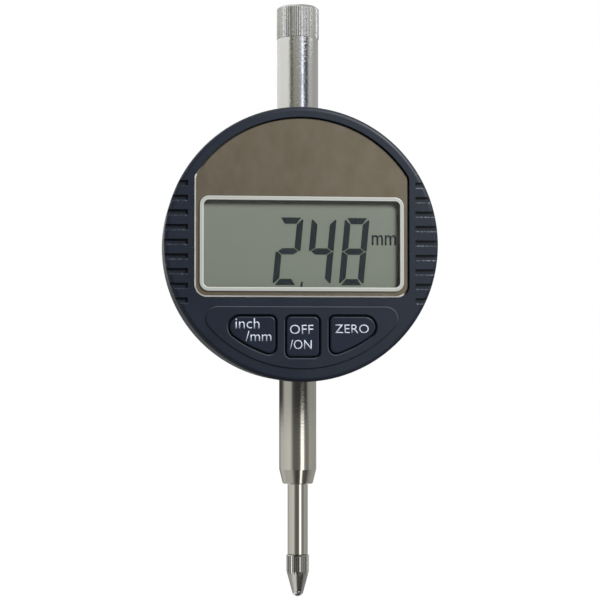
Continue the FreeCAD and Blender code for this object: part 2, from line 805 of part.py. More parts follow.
def contact_point():
    """The screwed-in point: a knurled collar, a cone, and a seat for the ball."""
    profile = [(0, tip_end_z), (tip_end_radius, tip_end_z), (tip_collar_radius, tip_cone_z),
               (tip_collar_radius, spindle_low_z - tip_edge),
               (tip_collar_radius - tip_edge, spindle_low_z), (stud_radius, spindle_low_z),
               (stud_radius, spindle_low_z + stud_length), (0, spindle_low_z + stud_length)]
    collar = flutes(tip_flute_count, tip_collar_radius, tip_flute_depth, tip_cone_z - OVER,
                    spindle_low_z + OVER)
    return lathe(profile).cut(collar).cut(contact_ball())


def contact_ball():
    """The hard ball that touches the work."""
    return Part.makeSphere(ball_radius, Vector(0, 0, tip_end_z - ball_stand_out + ball_radius))


def scale_clamp():
    """The block fixed on the spindle. It carries the scale, the guide pin and the spring."""
    block = Part.makeBox(2 * clamp_half_width, clamp_back_y - clamp_front_y, clamp_length,
                         Vector(-clamp_half_width, clamp_front_y, clamp_low_z))
    arm_height = 2 * (clamp_top_z - high_pin_z)
    arm = Part.makeBox(spring_x + arm_reach, arm_thickness, arm_height,
                       Vector(0, arm_front_y, clamp_top_z - arm_height))
    cuts = [rod(spindle_radius + thread_gap, clamp_low_z - OVER, clamp_top_z + OVER),
            disc(guide_pin_radius + thread_gap, 0, clamp_back_y + OVER, 0, guide_pin_z - case_z),
            disc(spring_pin_radius + thread_gap, -OVER, clamp_back_y, spring_x, high_pin_z - case_z),
            Part.makeCylinder(clamp_screw_radius + thread_gap, clamp_half_width + OVER,
                              Vector(-clamp_half_width - OVER, 0, clamp_low_z + clamp_screw_up),
                              X_AXIS)]
    return block.fuse(arm).removeSplitter().cut(cuts)


def measuring_scale():
    """The strip with the scale's pattern, close behind the board."""
    return Part.makeBox(2 * scale_half_width, scale_thickness, scale_length,
                        Vector(-scale_half_width, scale_front_y, clamp_low_z))


def clamp_screw():
    """The grub screw that holds the clamp on the spindle."""
    z = clamp_low_z + clamp_screw_up
    body = Part.makeCylinder(clamp_screw_radius, clamp_half_width - spindle_radius - thread_gap,
                             Vector(-clamp_half_width, 0, z), X_AXIS)
    slot = Part.makeBox(screw_slot, 2 * clamp_screw_radius, screw_slot,
                        Vector(-clamp_half_width, -clamp_screw_radius, z - screw_slot / 2))
    return body.cut(slot)


def guide_pin():
    """The pin that runs in the frame's slot and keeps the spindle from turning."""
    return disc(guide_pin_radius, spindle_radius + hole_gap, frame_back_y, 0, guide_pin_z - case_z)


def spring_pin():
    """The pin in the clamp's arm that holds the return spring's upper loop."""
    return disc(spring_pin_radius, -spring_pin_front, arm_front_y + arm_thickness,
                spring_x, high_pin_z - case_z)


def return_spring():
    """A stretched coil with a loop round each pin."""
    loop_radius = spring_pin_radius + spring_wire
    loop_offset = spring_wire / 2
    loop_heights = (low_pin_z + loop_offset, high_pin_z - loop_offset)
    coil_low = loop_heights[0] + loop_radius
    coil_high = loop_heights[1] - loop_radius
    height = coil_high - coil_low
    helix = Part.makeHelix(height / spring_turns, height, spring_radius)
    helix.translate(Vector(spring_x, 0, coil_low))
    section = Part.Wire(Part.makeCircle(spring_wire / 2, Vector(spring_x + spring_radius, 0, coil_low),
                                        Y_AXIS))
    coil = Part.Wire(helix).makePipeShell([section], True, True)
    ends = []
    for z in (coil_low, coil_high):
        ends.append(Part.makeCylinder(spring_wire / 2 - spring_arm_step, spring_radius,
                                      Vector(spring_x, 0, z), X_AXIS))
    for z in loop_heights:
        ends.append(Part.makeTorus(loop_radius, spring_wire / 2, Vector(spring_x, 0, z), Y_AXIS))
    return coil.fuse(ends).removeSplitter()


# Rear cover, lug, battery and door


def cover_blank():
    """The rear cover's disc with its rounded outer edge."""
    blank = disc(case_radius, shell_back_y, back_y)
    return blank.makeFillet(rear_round, front_edges(blank, back_y))


def door_slab(x_low, half_height, y_low, y_high):
    return slab(x_low, case_radius + OVER, y_low, y_high, -half_height, half_height)


def tongue_planes():
    """The two faces of the door's tongues, a little nearer the inside than the middle."""
    middle = door_inner_y + door_thickness / 2 - door_gap
    return middle - door_tongue_thickness / 2, middle + door_tongue_thickness / 2


def rear_cover():
    """The back of the case, with the lug's recess, the battery well and the door's track."""
    inside = inner_radius - fit_gap
    lip = disc(inside, shell_back_y - lip_height, shell_back_y)
    lip = lip.cut(disc(inside - lip_width, shell_back_y - OVER, shell_back_y + OVER))
    pad = door_slab(door_start_x - pad_border, door_half_height + door_tongue + pad_border,
                    shell_back_y - door_pad, shell_back_y)
    pad = pad.common(disc(inside, shell_back_y - OVER, back_y))
    well = disc(well_radius + well_wall, well_floor_y, shell_back_y, battery_x, 0)
    cover = cover_blank().fuse([lip, pad, well])
    low, high = tongue_planes()
    lug_seat = lug_half + lug_gap
    cuts = [slab(-lug_seat, lug_seat, lug_base_y, back_y + OVER, -lug_seat, lug_seat),
            door_slab(door_start_x - door_gap, door_half_height + door_gap, battery_back_y, back_y + OVER),
            door_slab(door_start_x - door_gap, door_half_height + door_tongue + door_gap,
                      low - door_gap, high + door_gap),
            disc(well_radius, well_floor_y + well_floor, back_y + OVER, battery_x, 0)]
    cuts += [disc(post_radius + frame_gap, shell_back_y - OVER, shell_back_y, x, z)
             for x, z in four_corners(post_x, post_z)]
    for x, z in four_corners(post_x, post_z):
        cuts += screw_hole(x, z, back_y, shell_back_y - OVER, screw_radius + hole_gap)
    cuts += [disc(lug_screw_radius + hole_gap, shell_back_y - OVER, back_y + OVER, x, z)
             for x, z in four_corners(lug_screw_at, lug_screw_at)]
    cuts += [contact_slot(negative_leg_x(), battery_front_y),
             contact_slot(positive_leg_x(), battery_back_y - door_gap)]
    return cover.cut(cuts).removeSplitter()


def negative_leg_x():
    return battery_x - battery_radius + contact_foot


def positive_leg_x():
    return battery_x + battery_radius + contact_sheet / 2


def contact_slot(x, y_high):
    """The slot in the battery well that a contact's leg passes through."""
    half = contact_sheet / 2 + contact_gap
    half_width = contact_width / 2 + contact_gap
    return slab(x - half, x + half, well_floor_y - OVER, y_high, -half_width, half_width)


def cover_screws():
    tip_y = shell_back_y - cover_screw_length + fit_gap
    return Part.makeCompound([screw(x, z, back_y, tip_y, screw_radius)
                              for x, z in four_corners(post_x, post_z)])


def lug_back():
    """The fixing lug: a square base with an ear that is bored across."""
    base = slab(-lug_half, lug_half, lug_base_y, lug_out_y, -lug_half, lug_half)
    base = round_corners(base, lambda x, z: lug_corner)
    ear = slab(-lug_ear_half, lug_ear_half, lug_out_y - lug_base / 2, lug_hole_y,
               -lug_end_radius, lug_end_radius)
    tip = Part.makeCylinder(lug_end_radius, 2 * lug_ear_half, at_case(-lug_ear_half, lug_hole_y, 0), X_AXIS)
    hole = Part.makeCylinder(lug_hole_radius, 4 * lug_ear_half,
                             at_case(-2 * lug_ear_half, lug_hole_y, 0), X_AXIS)
    shape = base.fuse([ear, tip]).removeSplitter().cut(hole)
    cuts = []
    for x, z in four_corners(lug_screw_at, lug_screw_at):
        cuts += screw_hole(x, z, lug_out_y, lug_base_y - OVER, lug_screw_radius + hole_gap)
    return shape.cut(cuts).removeSplitter()


def lug_screws():
    return Part.makeCompound([screw(x, z, lug_out_y, frame_plate_y + lug_screw_floor, lug_screw_radius)
                              for x, z in four_corners(lug_screw_at, lug_screw_at)])


def battery():
    """A button cell. Its smaller end faces the board."""
    can = disc(battery_radius, battery_front_y + battery_cap_height, battery_back_y, battery_x, 0)
    can = can.makeFillet(battery_edge, [e for e in can.Edges if not runs_along_y(e)])
    end = disc(battery_radius - battery_cap_inset, battery_front_y,
               battery_front_y + 2 * battery_cap_height, battery_x, 0)
    return can.fuse(end).removeSplitter()


def battery_contact(leg_x, leg_top_y, foot_side):
    """A sprung strip that stands on the board, with its foot to one side."""
    half = contact_width / 2
    edge = contact_sheet / 2
    leg = slab(leg_x - edge, leg_x + edge, board_back_y, leg_top_y, -half, half)
    foot_x = sorted((leg_x, leg_x + foot_side * contact_foot))
    foot = slab(foot_x[0], foot_x[1], board_back_y, board_back_y + contact_sheet, -half, half)
    return leg.fuse(foot).removeSplitter()


def battery_contact_negative():
    """The strip whose leaf lies under the cell."""
    x = negative_leg_x()
    half = contact_width / 2
    leaf = slab(x - contact_sheet / 2, battery_x + battery_radius - contact_foot,
                battery_front_y - contact_sheet, battery_front_y, -half, half)
    return battery_contact(x, battery_front_y, 1).fuse(leaf).removeSplitter()


def battery_contact_positive():
    """The strip that presses on the side of the cell."""
    return battery_contact(positive_leg_x(), battery_back_y - battery_edge - contact_gap, -1)


def battery_door():
    """The sliding door: its outer end follows the case's round, and tongues run in the track."""
    low, high = tongue_planes()
    body = door_slab(door_start_x, door_half_height, door_inner_y, back_y + OVER)
    tongues = door_slab(door_start_x, door_half_height + door_tongue, low, high)
    door = cover_blank().common(body.fuse(tongues))
    grips = []
    for i in range(door_rib_count):
        x = case_radius - door_rib_inset - i * door_rib_pitch
        grips.append(slab(x - door_rib_width / 2, x + door_rib_width / 2, back_y - door_rib_depth,
                          back_y + OVER, -door_rib_length / 2, door_rib_length / 2))
    return door.cut(grips).removeSplitter()


# Dust cap


def dust_cap():
    """The hollow cap over the spindle's upper end, with a knurled head."""
    low = cap_seat_z - cap_spigot_length
    neck_z = cap_top_z - cap_head_length
    profile = [(cap_bore, low), (cap_spigot_radius, low), (cap_spigot_radius, cap_seat_z),
               (cap_radius, cap_seat_z), (cap_radius, neck_z),
               (cap_head_radius, neck_z + cap_head_radius - cap_radius),
               (cap_head_radius, cap_top_z - cap_edge), (cap_head_radius - cap_edge, cap_top_z),
               (0, cap_top_z), (0, cap_top_z - cap_end_wall), (cap_bore, cap_top_z - cap_end_wall)]
    return lathe(profile).cut(flutes(cap_flute_count, cap_head_radius, cap_flute_depth,
                                     neck_z, cap_top_z + OVER))


def build():
    centres = key_centres()
    return {
        "front_shell": front_shell(),
        "trim_plate": trim_plate(),
        "window_bezel": window_bezel(),
        "display_window": display_window(),
        "display_cell": display_cell(),
        "display_carrier": display_carrier(),
        "contact_strips": contact_strips(),
        "circuit_board": circuit_board(),
        "board_chips": board_chips(),
        "key_domes": key_domes(),
        "inch_mm_key": key(side_key_outline, centres["left"], mirrored=True),
        "power_key": key(middle_key_outline, centres["middle"]),
        "zero_key": key(side_key_outline, centres["right"]),
        "main_frame": main_frame(),
        "frame_screws": frame_screws(),
        "stem": stem(),
        "lower_bush": lower_bush(),
        "upper_bush": upper_bush(),
        "stop_washer": stop_washer(),
        "spring_post": spring_post(),
        "return_spring": return_spring(),
        "spindle": spindle(),
        "contact_point": contact_point(),
        "contact_ball": contact_ball(),
        "scale_clamp": scale_clamp(),
        "measuring_scale": measuring_scale(),
        "clamp_screw": clamp_screw(),
        "guide_pin": guide_pin(),
        "spring_pin": spring_pin(),
        "rear_cover": rear_cover(),
        "cover_screws": cover_screws(),
        "lug_back": lug_back(),
        "lug_screws": lug_screws(),
        "battery": battery(),
        "battery_contact_negative": battery_contact_negative(),
        "battery_contact_positive": battery_contact_positive(),
        "battery_door": battery_door(),
        "dust_cap": dust_cap(),
    }


os.makedirs("parts", exist_ok=True)
for name, shape in build().items():
    shape.exportStep("parts/" + name + ".step")
    print(name, "solids", len(shape.Solids), "valid", shape.isValid(), "mm3", round(shape.Volume, 2))
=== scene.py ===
# %% [markdown]
# # Dressing a digital indicator
# The object is a small measuring instrument. A round plastic case carries a display and three keys.
# A ground steel spindle slides in a clamping stem below, and a knurled metal cap covers its upper end.
# Its solids come ready from CAD as a frame that stays as it is. What is left for Blender is the look:
# finishes, lettering, the digits of the display, light and camera.

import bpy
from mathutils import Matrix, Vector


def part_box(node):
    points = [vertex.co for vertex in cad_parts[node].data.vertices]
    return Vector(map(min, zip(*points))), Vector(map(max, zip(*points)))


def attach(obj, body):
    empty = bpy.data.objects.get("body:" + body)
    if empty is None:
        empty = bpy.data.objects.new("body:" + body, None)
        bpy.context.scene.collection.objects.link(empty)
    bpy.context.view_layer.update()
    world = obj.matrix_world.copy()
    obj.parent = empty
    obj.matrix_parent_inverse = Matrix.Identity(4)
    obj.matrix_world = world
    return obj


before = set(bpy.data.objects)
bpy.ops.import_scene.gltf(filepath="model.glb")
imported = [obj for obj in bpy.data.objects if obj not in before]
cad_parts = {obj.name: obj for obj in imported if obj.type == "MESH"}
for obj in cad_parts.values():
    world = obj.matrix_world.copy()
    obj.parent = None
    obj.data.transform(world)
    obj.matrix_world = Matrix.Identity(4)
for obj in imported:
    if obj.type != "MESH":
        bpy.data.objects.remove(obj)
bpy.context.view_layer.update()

# %% Blender's own modules
import math

import bmesh
import bpy
from mathutils import Matrix, Vector

MM = 0.001
scene = bpy.context.scene
scene.view_settings.view_transform = "Standard"


# %% [markdown]
# ## Places that come from the frame
# Every new piece must sit on the solid that carries it. So no place is typed in from nothing:
# the middle of the round case, the face of the display and the faces of the keys are read from
# the boxes of their nodes, and sizes are added to them in millimetres.

# %% Read the places
shell_low, shell_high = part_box("front_shell")
case_middle = (shell_low + shell_high) / 2
case_middle.x = 0
display_face_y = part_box("display_cell")[0].y


def on_face(x_mm, z_mm, y):
    """A point of the case's face, in millimetres from its middle, at the depth y."""
    return Vector((x_mm * MM, y, case_middle.z + z_mm * MM))


print("case middle", [round(c, 5) for c in case_middle], "display face y", round(display_face_y, 5))


# %% [markdown]
# ## One line for each node
# Every finish below is wired from the same few nodes: Math, Map Range, Mix, Noise. Written out in
# full they would hide the idea of a finish, so each gets a helper. A helper takes numbers or sockets
# alike, adds its node to a tree and gives back the socket where the result comes out.

# %% Plug a value or a socket into an entry


def plug(tree, value, entry):
    """Sets a node's entry to a plain value, or links a socket to it."""
    if isinstance(value, bpy.types.NodeSocket):
        tree.links.new(value, entry)
    else:
        entry.default_value = value


# %% Math: one node, several factors, and a change of range


def math_node(tree, operation, *values):
    node = tree.nodes.new("ShaderNodeMath")
    node.operation = operation
    for value, entry in zip(values, node.inputs):
        plug(tree, value, entry)
    return node.outputs[0]


def multiply(tree, first, *others):
    """All values multiplied, one after the other."""
    for value in others:
        first = math_node(tree, "MULTIPLY", first, value)
    return first


def remap(tree, value, low, high, to_low=0, to_high=1):
    """Carries a value from one range into another and stops at its ends."""
    node = tree.nodes.new("ShaderNodeMapRange")
    ends = {"Value": value, "From Min": low, "From Max": high, "To Min": to_low, "To Max": to_high}
    for label, end in ends.items():
        plug(tree, end, node.inputs[label])
    return node.outputs["Result"]


def band(tree, value, start, full, fading, gone):
    """1 between two values, with a soft start and a soft end."""
    return multiply(tree, remap(tree, value, start, full), remap(tree, value, fading, gone, 1, 0))


# %% Vectors: where a point lies, its parts, and vector math


def own_place(tree, kind="Object"):
    """Where a point lies in its object, or the way it faces when the kind is Normal."""
    return tree.nodes.new("ShaderNodeTexCoord").outputs[kind]


def parts_of(tree, vector):
    """The X, Y and Z of a vector."""
    parts = tree.nodes.new("ShaderNodeSeparateXYZ")
    tree.links.new(vector, parts.inputs[0])
    return parts.outputs


def vector_node(tree, operation, *values):
    node = tree.nodes.new("ShaderNodeVectorMath")
    node.operation = operation
    for value, entry in zip(values, node.inputs):
        plug(tree, value, entry)
    return node.outputs["Value" if operation in ("LENGTH", "DOT_PRODUCT") else "Vector"]


# %% Noise and colours


def add_noise(tree, vector, scale, detail):
    noise = tree.nodes.new("ShaderNodeTexNoise")
    plug(tree, vector, noise.inputs["Vector"])
    plug(tree, scale, noise.inputs["Scale"])
    noise.inputs["Detail"].default_value = detail
    return noise


def blend_colors(tree, share, first, second):
    node = tree.nodes.new("ShaderNodeMix")
    node.data_type = "RGBA"
    for value, number in ((share, 0), (first, 6), (second, 7)):
        plug(tree, value, node.inputs[number])
    return node.outputs[2]


def color_ramp(tree, value, stops):
    """A ramp of colours from its stops, each a position between 0 and 1 and a colour."""
    node = tree.nodes.new("ShaderNodeValToRGB")
    elements = node.color_ramp.elements
    while len(elements) < len(stops):
        elements.new(0.5)
    for element, (position, color) in zip(elements, stops):
        element.position = position
        element.color = color
    tree.links.new(value, node.inputs["Fac"])
    return node.outputs["Color"]


# %% [markdown]
# ## Shared effects
# Some effects return on many surfaces, so each is a node group that is built once and placed in each
# finish with that finish's own numbers. A group puts out one plain value, and each material decides
# where to plug it in: the height of a bump, the roughness, or the share of a second colour.

# %% A helper that starts a node group


def new_group(name, inputs, output):
    """A group with float inputs (name, default) and one output. Gives it with its inner sockets."""
    group = bpy.data.node_groups.new(name, "ShaderNodeTree")
    for label, default in inputs:
        socket = group.interface.new_socket(label, in_out="INPUT", socket_type="NodeSocketFloat")
        socket.default_value = default
    group.interface.new_socket(output, in_out="OUTPUT", socket_type="NodeSocketFloat")
    start, end = group.nodes.new("NodeGroupInput"), group.nodes.new("NodeGroupOutput")
    return group, start.outputs, end.inputs[output]


# %% [markdown]
# ### Moulded grain
# Plastic from a blasted mould is covered with pebbles a quarter of a millimetre across. Modelled as
# geometry they would need millions of faces, so noise in millimetres stands in, as a height.

# %% Moulded grain


def build_grain():
    group, given, height = new_group("moulded grain", [("Size mm", 0.25)], "Height")
    scale = math_node(group, "DIVIDE", 1 / MM, given["Size mm"])
    group.links.new(add_noise(group, own_place(group), scale, 2).outputs["Fac"], height)
    return group


moulded_grain = build_grain()

# %% [markdown]
# ### Fine lines
# Turning and grinding leave thin lines round or along the metal. Noise that is squeezed across the
# lines and left long beside them gives lines of uneven length, which an even wave would not.

# %% Fine lines


def build_lines():
    labels = ("Across x", "Across y", "Across z")
    group, given, height = new_group("fine lines", [(label, 1.0) for label in labels], "Height")
    squeeze = group.nodes.new("ShaderNodeCombineXYZ")
    for label, entry in zip(labels, squeeze.inputs):
        group.links.new(given[label], entry)
    squeezed = vector_node(group, "MULTIPLY", own_place(group), squeeze.outputs[0])
    group.links.new(add_noise(group, squeezed, 1, 3).outputs["Fac"], height)
    return group


fine_lines = build_lines()

# %% [markdown]
# ### Handling
# Anything that is touched has soft patches where it is a little shinier. The group turns broad noise
# into a roughness between two limits, because roughness is what fingers change first.

# %% Handling


def build_handling():
    group, given, roughness = new_group(
        "handling", [("Patch mm", 9.0), ("Shiny", 0.3), ("Dull", 0.4)], "Roughness")
    scale = math_node(group, "DIVIDE", 1 / MM, given["Patch mm"])
    patches = add_noise(group, own_place(group), scale, 5)
    patches.inputs["Roughness"].default_value = 0.62
    group.links.new(remap(group, patches.outputs["Fac"], 0.3, 0.7, given["Shiny"], given["Dull"]),
                    roughness)
    return group


handling = build_handling()

# %% [markdown]
# ### Turned edge
# Bevels and rounds catch the light, so the paler colour that a finish paints on them is a painted highlight
# or painted reflection, with a little wear in it. The surface's own normal finds them: it points neither
# straight to the front or back (Flat) nor straight to a side (Side). Only the edges that look towards one
# direction are given: the side where the highlight or reflection is painted.

# %% Turned edge


def build_turned_edge():
    group, given, toward = new_group(
        "turned edge", [("Flat", 0.97), ("Bevel", 0.85), ("Low", 0.45), ("Side", 0.2),
                        ("Toward x", 0.53), ("Toward z", 0.85)], "Toward")
    normal = own_place(group, "Normal")
    facing = math_node(group, "ABSOLUTE", parts_of(group, normal)["Y"])
    turned = multiply(group, remap(group, facing, given["Flat"], given["Bevel"]),
                      remap(group, facing, given["Side"], given["Low"]))
    way = group.nodes.new("ShaderNodeCombineXYZ")
    group.links.new(given["Toward x"], way.inputs["X"])
    group.links.new(given["Toward z"], way.inputs["Z"])
    along = vector_node(group, "DOT_PRODUCT", normal, way.outputs[0])
    group.links.new(multiply(group, remap(group, along, 0.05, 0.5), turned), toward)
    return group


turned_edge = build_turned_edge()

# %% [markdown]
# ### Depth
# One solid often carries different finishes at different depths, such as a bright rim with a dark
# wall below it. The group tells how far a point lies behind a plane, so a finish can change there.

# %% Depth


def build_depth():
    group, given, depth = new_group("depth", [("Front", 0.0)], "Depth mm")
    behind = math_node(group, "SUBTRACT", parts_of(group, own_place(group))["Y"], given["Front"])
    group.links.new(multiply(group, behind, 1 / MM), depth)
    return group


depth_behind = build_depth()
print("shared effects:", [g.name for g in (moulded_grain, fine_lines, handling, turned_edge, depth_behind)])


# %% [markdown]
# ## Finishes
# A finish is a material with one Principled shader. What is the same all over stands as a number
# on the shader's own socket. What changes over the surface comes from a group or a texture.
# The colours are those that one sees on the real thing, turned from screen values into the
# linear values that Blender works with.

# %% Colours and a new finish


def linear(red, green, blue):
    """A screen colour, 0 to 255, as the linear colour that a shader takes."""
    values = []
    for value in (red, green, blue):
        part = value / 255
        values.append(part / 12.92 if part <= 0.04045 else ((part + 0.055) / 1.055) ** 2.4)
    return (*values, 1.0)


def new_finish(name, color, roughness, metallic=0.0, specular=0.5):
    """A material with its Principled shader's plain numbers set. Gives the material and the shader."""
    material = bpy.data.materials.new(name)
    material.use_nodes = True
    shader = material.node_tree.nodes["Principled BSDF"]
    shader.inputs["Base Color"].default_value = color
    shader.inputs["Roughness"].default_value = roughness
    shader.inputs["Metallic"].default_value = metallic
    shader.inputs["Specular IOR Level"].default_value = specular
    return material, shader


def wear(finish, *nodes):
    """Gives a finish to CAD nodes."""
    for name in nodes:
        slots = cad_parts[name].data.materials
        slots.clear()
        slots.append(finish)
    print(finish.name, "on", ", ".join(nodes))


# %% What a finish is made of: shared effects, relief, patches of roughness and of colour


def add_group(material, group, **values):
    """Places a shared effect in a material, with this finish's own values, and gives its output."""
    node = material.node_tree.nodes.new("ShaderNodeGroup")
    node.node_tree = group
    for label, value in values.items():
        node.inputs[label.replace("_", " ")].default_value = value
    return node.outputs[0]


def add_bump(material, shader, height, depth_mm):
    """Turns a height between 0 and 1 into relief of the given depth."""
    bump = material.node_tree.nodes.new("ShaderNodeBump")
    bump.inputs["Distance"].default_value = depth_mm * MM
    material.node_tree.links.new(height, bump.inputs["Height"])
    material.node_tree.links.new(bump.outputs["Normal"], shader.inputs["Normal"])
    return bump


def add_grain(material, shader, size_mm, depth_mm):
    add_bump(material, shader, add_group(material, moulded_grain, Size_mm=size_mm), depth_mm)


def add_handling(material, shader, patch_mm, shiny, dull):
    touch = add_group(material, handling, Patch_mm=patch_mm, Shiny=shiny, Dull=dull)
    material.node_tree.links.new(touch, shader.inputs["Roughness"])


def add_variation(material, shader, dark, light, size_mm, stretch=(1, 1, 1)):
    """Lets the base colour drift between two near shades in soft patches."""
    tree = material.node_tree
    mapping = tree.nodes.new("ShaderNodeMapping")
    mapping.inputs["Scale"].default_value = stretch
    tree.links.new(own_place(tree), mapping.inputs["Vector"])
    noise = add_noise(tree, mapping.outputs["Vector"], 1000 / size_mm, 4)
    tree.links.new(blend_colors(tree, noise.outputs["Fac"], dark, light), shader.inputs["Base Color"])


def paint_over(material, shader, mask, color):
    """Paints a second colour over what feeds the base colour, where a mask is 1."""
    tree, base = material.node_tree, shader.inputs["Base Color"]
    tree.links.new(blend_colors(tree, mask, base.links[0].from_socket, color), base)


# %% [markdown]
# ## Dark plastic
# The case halves, the keys and the battery door are moulded in a blue-grey so dark that its shape
# is read mostly from reflections. Its base is nearly black-blue, the gloss is satin, and a fine
# grain breaks the reflections up. The keys are a touch darker and smoother than the case. Edges
# that face the key lamp get a paler colour, a painted highlight with a little wear in it, and on the rim,
# further back than the face, hardly at all.

# %% Case plastic and key plastic, with the depth in mm where the case's face ends
face_end = (0.25, 0.35)
# Share of the painted edge highlight that is left on the rim.
rim_highlight_share = 0.12


def dark_plastic(name, dark, light, highlight_and_wear, shiny, dull, grain_mm, depth_mm):
    finish, shader = new_finish(name, light, dull, specular=0.25)
    add_variation(finish, shader, dark, light, 5.0)
    add_handling(finish, shader, 7.0, shiny, dull)
    add_grain(finish, shader, grain_mm, depth_mm)
    depth = add_group(finish, depth_behind, Front=shell_low.y)
    # Painted highlight: a paler colour on the edges that face the key lamp, with a little wear, fading on
    # the rim.
    near_front = remap(finish.node_tree, depth, *face_end, 1, rim_highlight_share)
    painted_edge_highlight = multiply(finish.node_tree, add_group(finish, turned_edge), near_front)
    paint_over(finish, shader, painted_edge_highlight, highlight_and_wear)
    return finish, shader


case_plastic, case_shader = dark_plastic("case plastic", linear(22, 30, 43), linear(29, 37, 50),
                                         linear(78, 84, 94), 0.36, 0.48, 0.22, 0.010)
key_plastic, _ = dark_plastic("key plastic", linear(20, 28, 44), linear(24, 33, 49),
                              linear(52, 59, 70), 0.32, 0.42, 0.18, 0.006)
wear(case_plastic, "front_shell", "rear_cover", "battery_door")
wear(key_plastic, "inch_mm_key", "power_key", "zero_key")

# %% [markdown]
# ### Painted shade and highlights at the grip grooves
# A painted shade lies under the upper edge of each groove, where the upper wall shades the floor, and the
# lower edge, which catches the light, gets a painted highlight in pale flecks, stronger on the right,
# partly wear from thumbs. Both are level stripes that repeat with the grooves' pitch, so a ping-pong of the
# height finds them all at once. Depth keeps the painted shade on the grooves' floor and the flecks on the
# face.

# %% Painted shade and highlight flecks, in mm: a stripe's middle above the case's middle and half its width, and depths
groove_pitch = 3.07
groove_start = 24.2
groove_shade = (0.68, 0.26)
groove_highlight_flecks = (-0.3, 0.17)
floor_depths = (0.8, 0.9, 1.1, 1.2)
face_depths = (0.2, 0.25, 0.5, 0.8)
fleck_size = 0.45


def stripes(tree, height, middle_mm, half_mm):
    """1 on level stripes, fading to 0 at half a stripe's width."""
    from_first = math_node(tree, "SUBTRACT", height, case_middle.z + middle_mm * MM)
    near = math_node(tree, "PINGPONG", from_first, groove_pitch / 2 * MM)
    return remap(tree, near, half_mm * 0.6 * MM, half_mm * MM, 1, 0)


def add_groove_shade_and_highlights(finish, shader):
    tree = finish.node_tree
    place = parts_of(tree, own_place(tree))
    beside = remap(tree, math_node(tree, "ABSOLUTE", place["X"]), (groove_start - 0.1) * MM,
                   groove_start * MM)
    depth = add_group(finish, depth_behind, Front=shell_low.y)
    # Painted shade: near black on the groove floor under the upper edge, where the upper wall shades it.
    painted_groove_shade = multiply(tree, beside, band(tree, depth, *floor_depths),
                    stripes(tree, place["Z"], *groove_shade))
    paint_over(finish, shader, painted_groove_shade, linear(3, 4, 7))
    # Painted highlight in pale flecks on the lower edge of each groove, stronger on the right, partly wear.
    flecks = remap(tree, add_group(finish, moulded_grain, Size_mm=fleck_size), 0.46, 0.62, 0.12, 1)
    more_on_the_right = remap(tree, place["X"], -20 * MM, 20 * MM, 0.4, 1)
    highlight_and_wear = multiply(tree, beside, band(tree, depth, *face_depths),
                      stripes(tree, place["Z"], *groove_highlight_flecks), flecks, more_on_the_right)
    paint_over(finish, shader, highlight_and_wear, linear(128, 134, 140))


add_groove_shade_and_highlights(case_plastic, case_shader)
print("groove shade and highlights every", groove_pitch, "mm")


# %% [markdown]
# ## Trim plate
# The plate on the face is thin sheet metal with a warm, brownish satin colour and hardly any
# direction in its brushing. Its cut edge is painted near white only on the left and below, a polished edge
# with a painted reflection of a bright side below and to the left. The CAD edge is a flat bevel, which
# would mirror one spot only, so the normal is leaned towards the lamp there, as on a crowned edge that
# always has a place that faces the light.

# %% Plate metal
edge_crown = 1.6
lamp_way = Vector((0.71, -1.0, 0.8)).normalized()


def crowned_normal(tree, mask):
    """The surface's normal, leaned towards the lamp where the mask is 1."""
    lean = tree.nodes.new("ShaderNodeCombineXYZ")
    for axis, share in zip("XYZ", lamp_way):
        tree.links.new(remap(tree, mask, 0, 1, 0, edge_crown * share), lean.inputs[axis])
    surface = tree.nodes.new("ShaderNodeNewGeometry").outputs["Normal"]
    return vector_node(tree, "NORMALIZE", vector_node(tree, "ADD", surface, lean.outputs[0]))


def plate_metal():
    finish, shader = new_finish("plate metal", linear(106, 98, 82), 0.4, metallic=0.4, specular=0.2)
    tree = finish.node_tree
    add_variation(finish, shader, linear(95, 87, 70), linear(114, 107, 93), 2.6, stretch=(1, 1, 0.6))
    add_handling(finish, shader, 12.0, 0.36, 0.42)
    lines = add_group(finish, fine_lines, Across_x=300.0, Across_y=9000.0, Across_z=9000.0)
    bump = add_bump(finish, shader, lines, 0.002)
    # Painted reflection: near white on the edges that look down and to the left.
    edge = add_group(finish, turned_edge, Flat=0.998, Bevel=0.95, Toward_x=-1.5, Toward_z=-1.8)
    paint_over(finish, shader, edge, linear(246, 244, 236))
    tree.links.new(remap(tree, edge, 0, 1, 0.4, 0.1), shader.inputs["Metallic"])
    tree.links.new(crowned_normal(tree, edge), bump.inputs["Normal"])
    return finish


wear(plate_metal(), "trim_plate")

# %% [markdown]
# ## Bright bezel
# The frame round the display is silver and half round in section. The thin lighter and darker lines
# that this section reflects are painted along it as a painted reflection. They follow its outline: the
# distance from a rounded rectangle is worked out, as drawing programs do it, and a ramp gives each distance
# its tone. The wall below the rim is dark foil.

# %% Bezel silver: its rim, corner and foil in mm, and its painted reflection lines from outside to inside
bezel_rim = 0.87
bezel_corner = 1.97
bezel_foil = 0.3
bezel_reflection_lines = [(0.0, 182), (0.2, 204), (0.5, 184), (0.8, 212), (1.0, 212)]


def frame_distance(tree, half_width, half_height, corner):
    """How far a point lies inside the outline of a rounded frame, in metres."""
    centre = tree.nodes.new("ShaderNodeMapping")
    centre.inputs["Location"].default_value = (0, 0, -case_middle.z)
    centre.inputs["Scale"].default_value = (1, 0, 1)
    tree.links.new(own_place(tree), centre.inputs["Vector"])
    folded = vector_node(tree, "ABSOLUTE", centre.outputs["Vector"])
    past = vector_node(tree, "SUBTRACT", folded, (half_width - corner, 0, half_height - corner))
    outside = vector_node(tree, "MAXIMUM", past, (0, 0, 0))
    return math_node(tree, "SUBTRACT", corner, vector_node(tree, "LENGTH", outside))


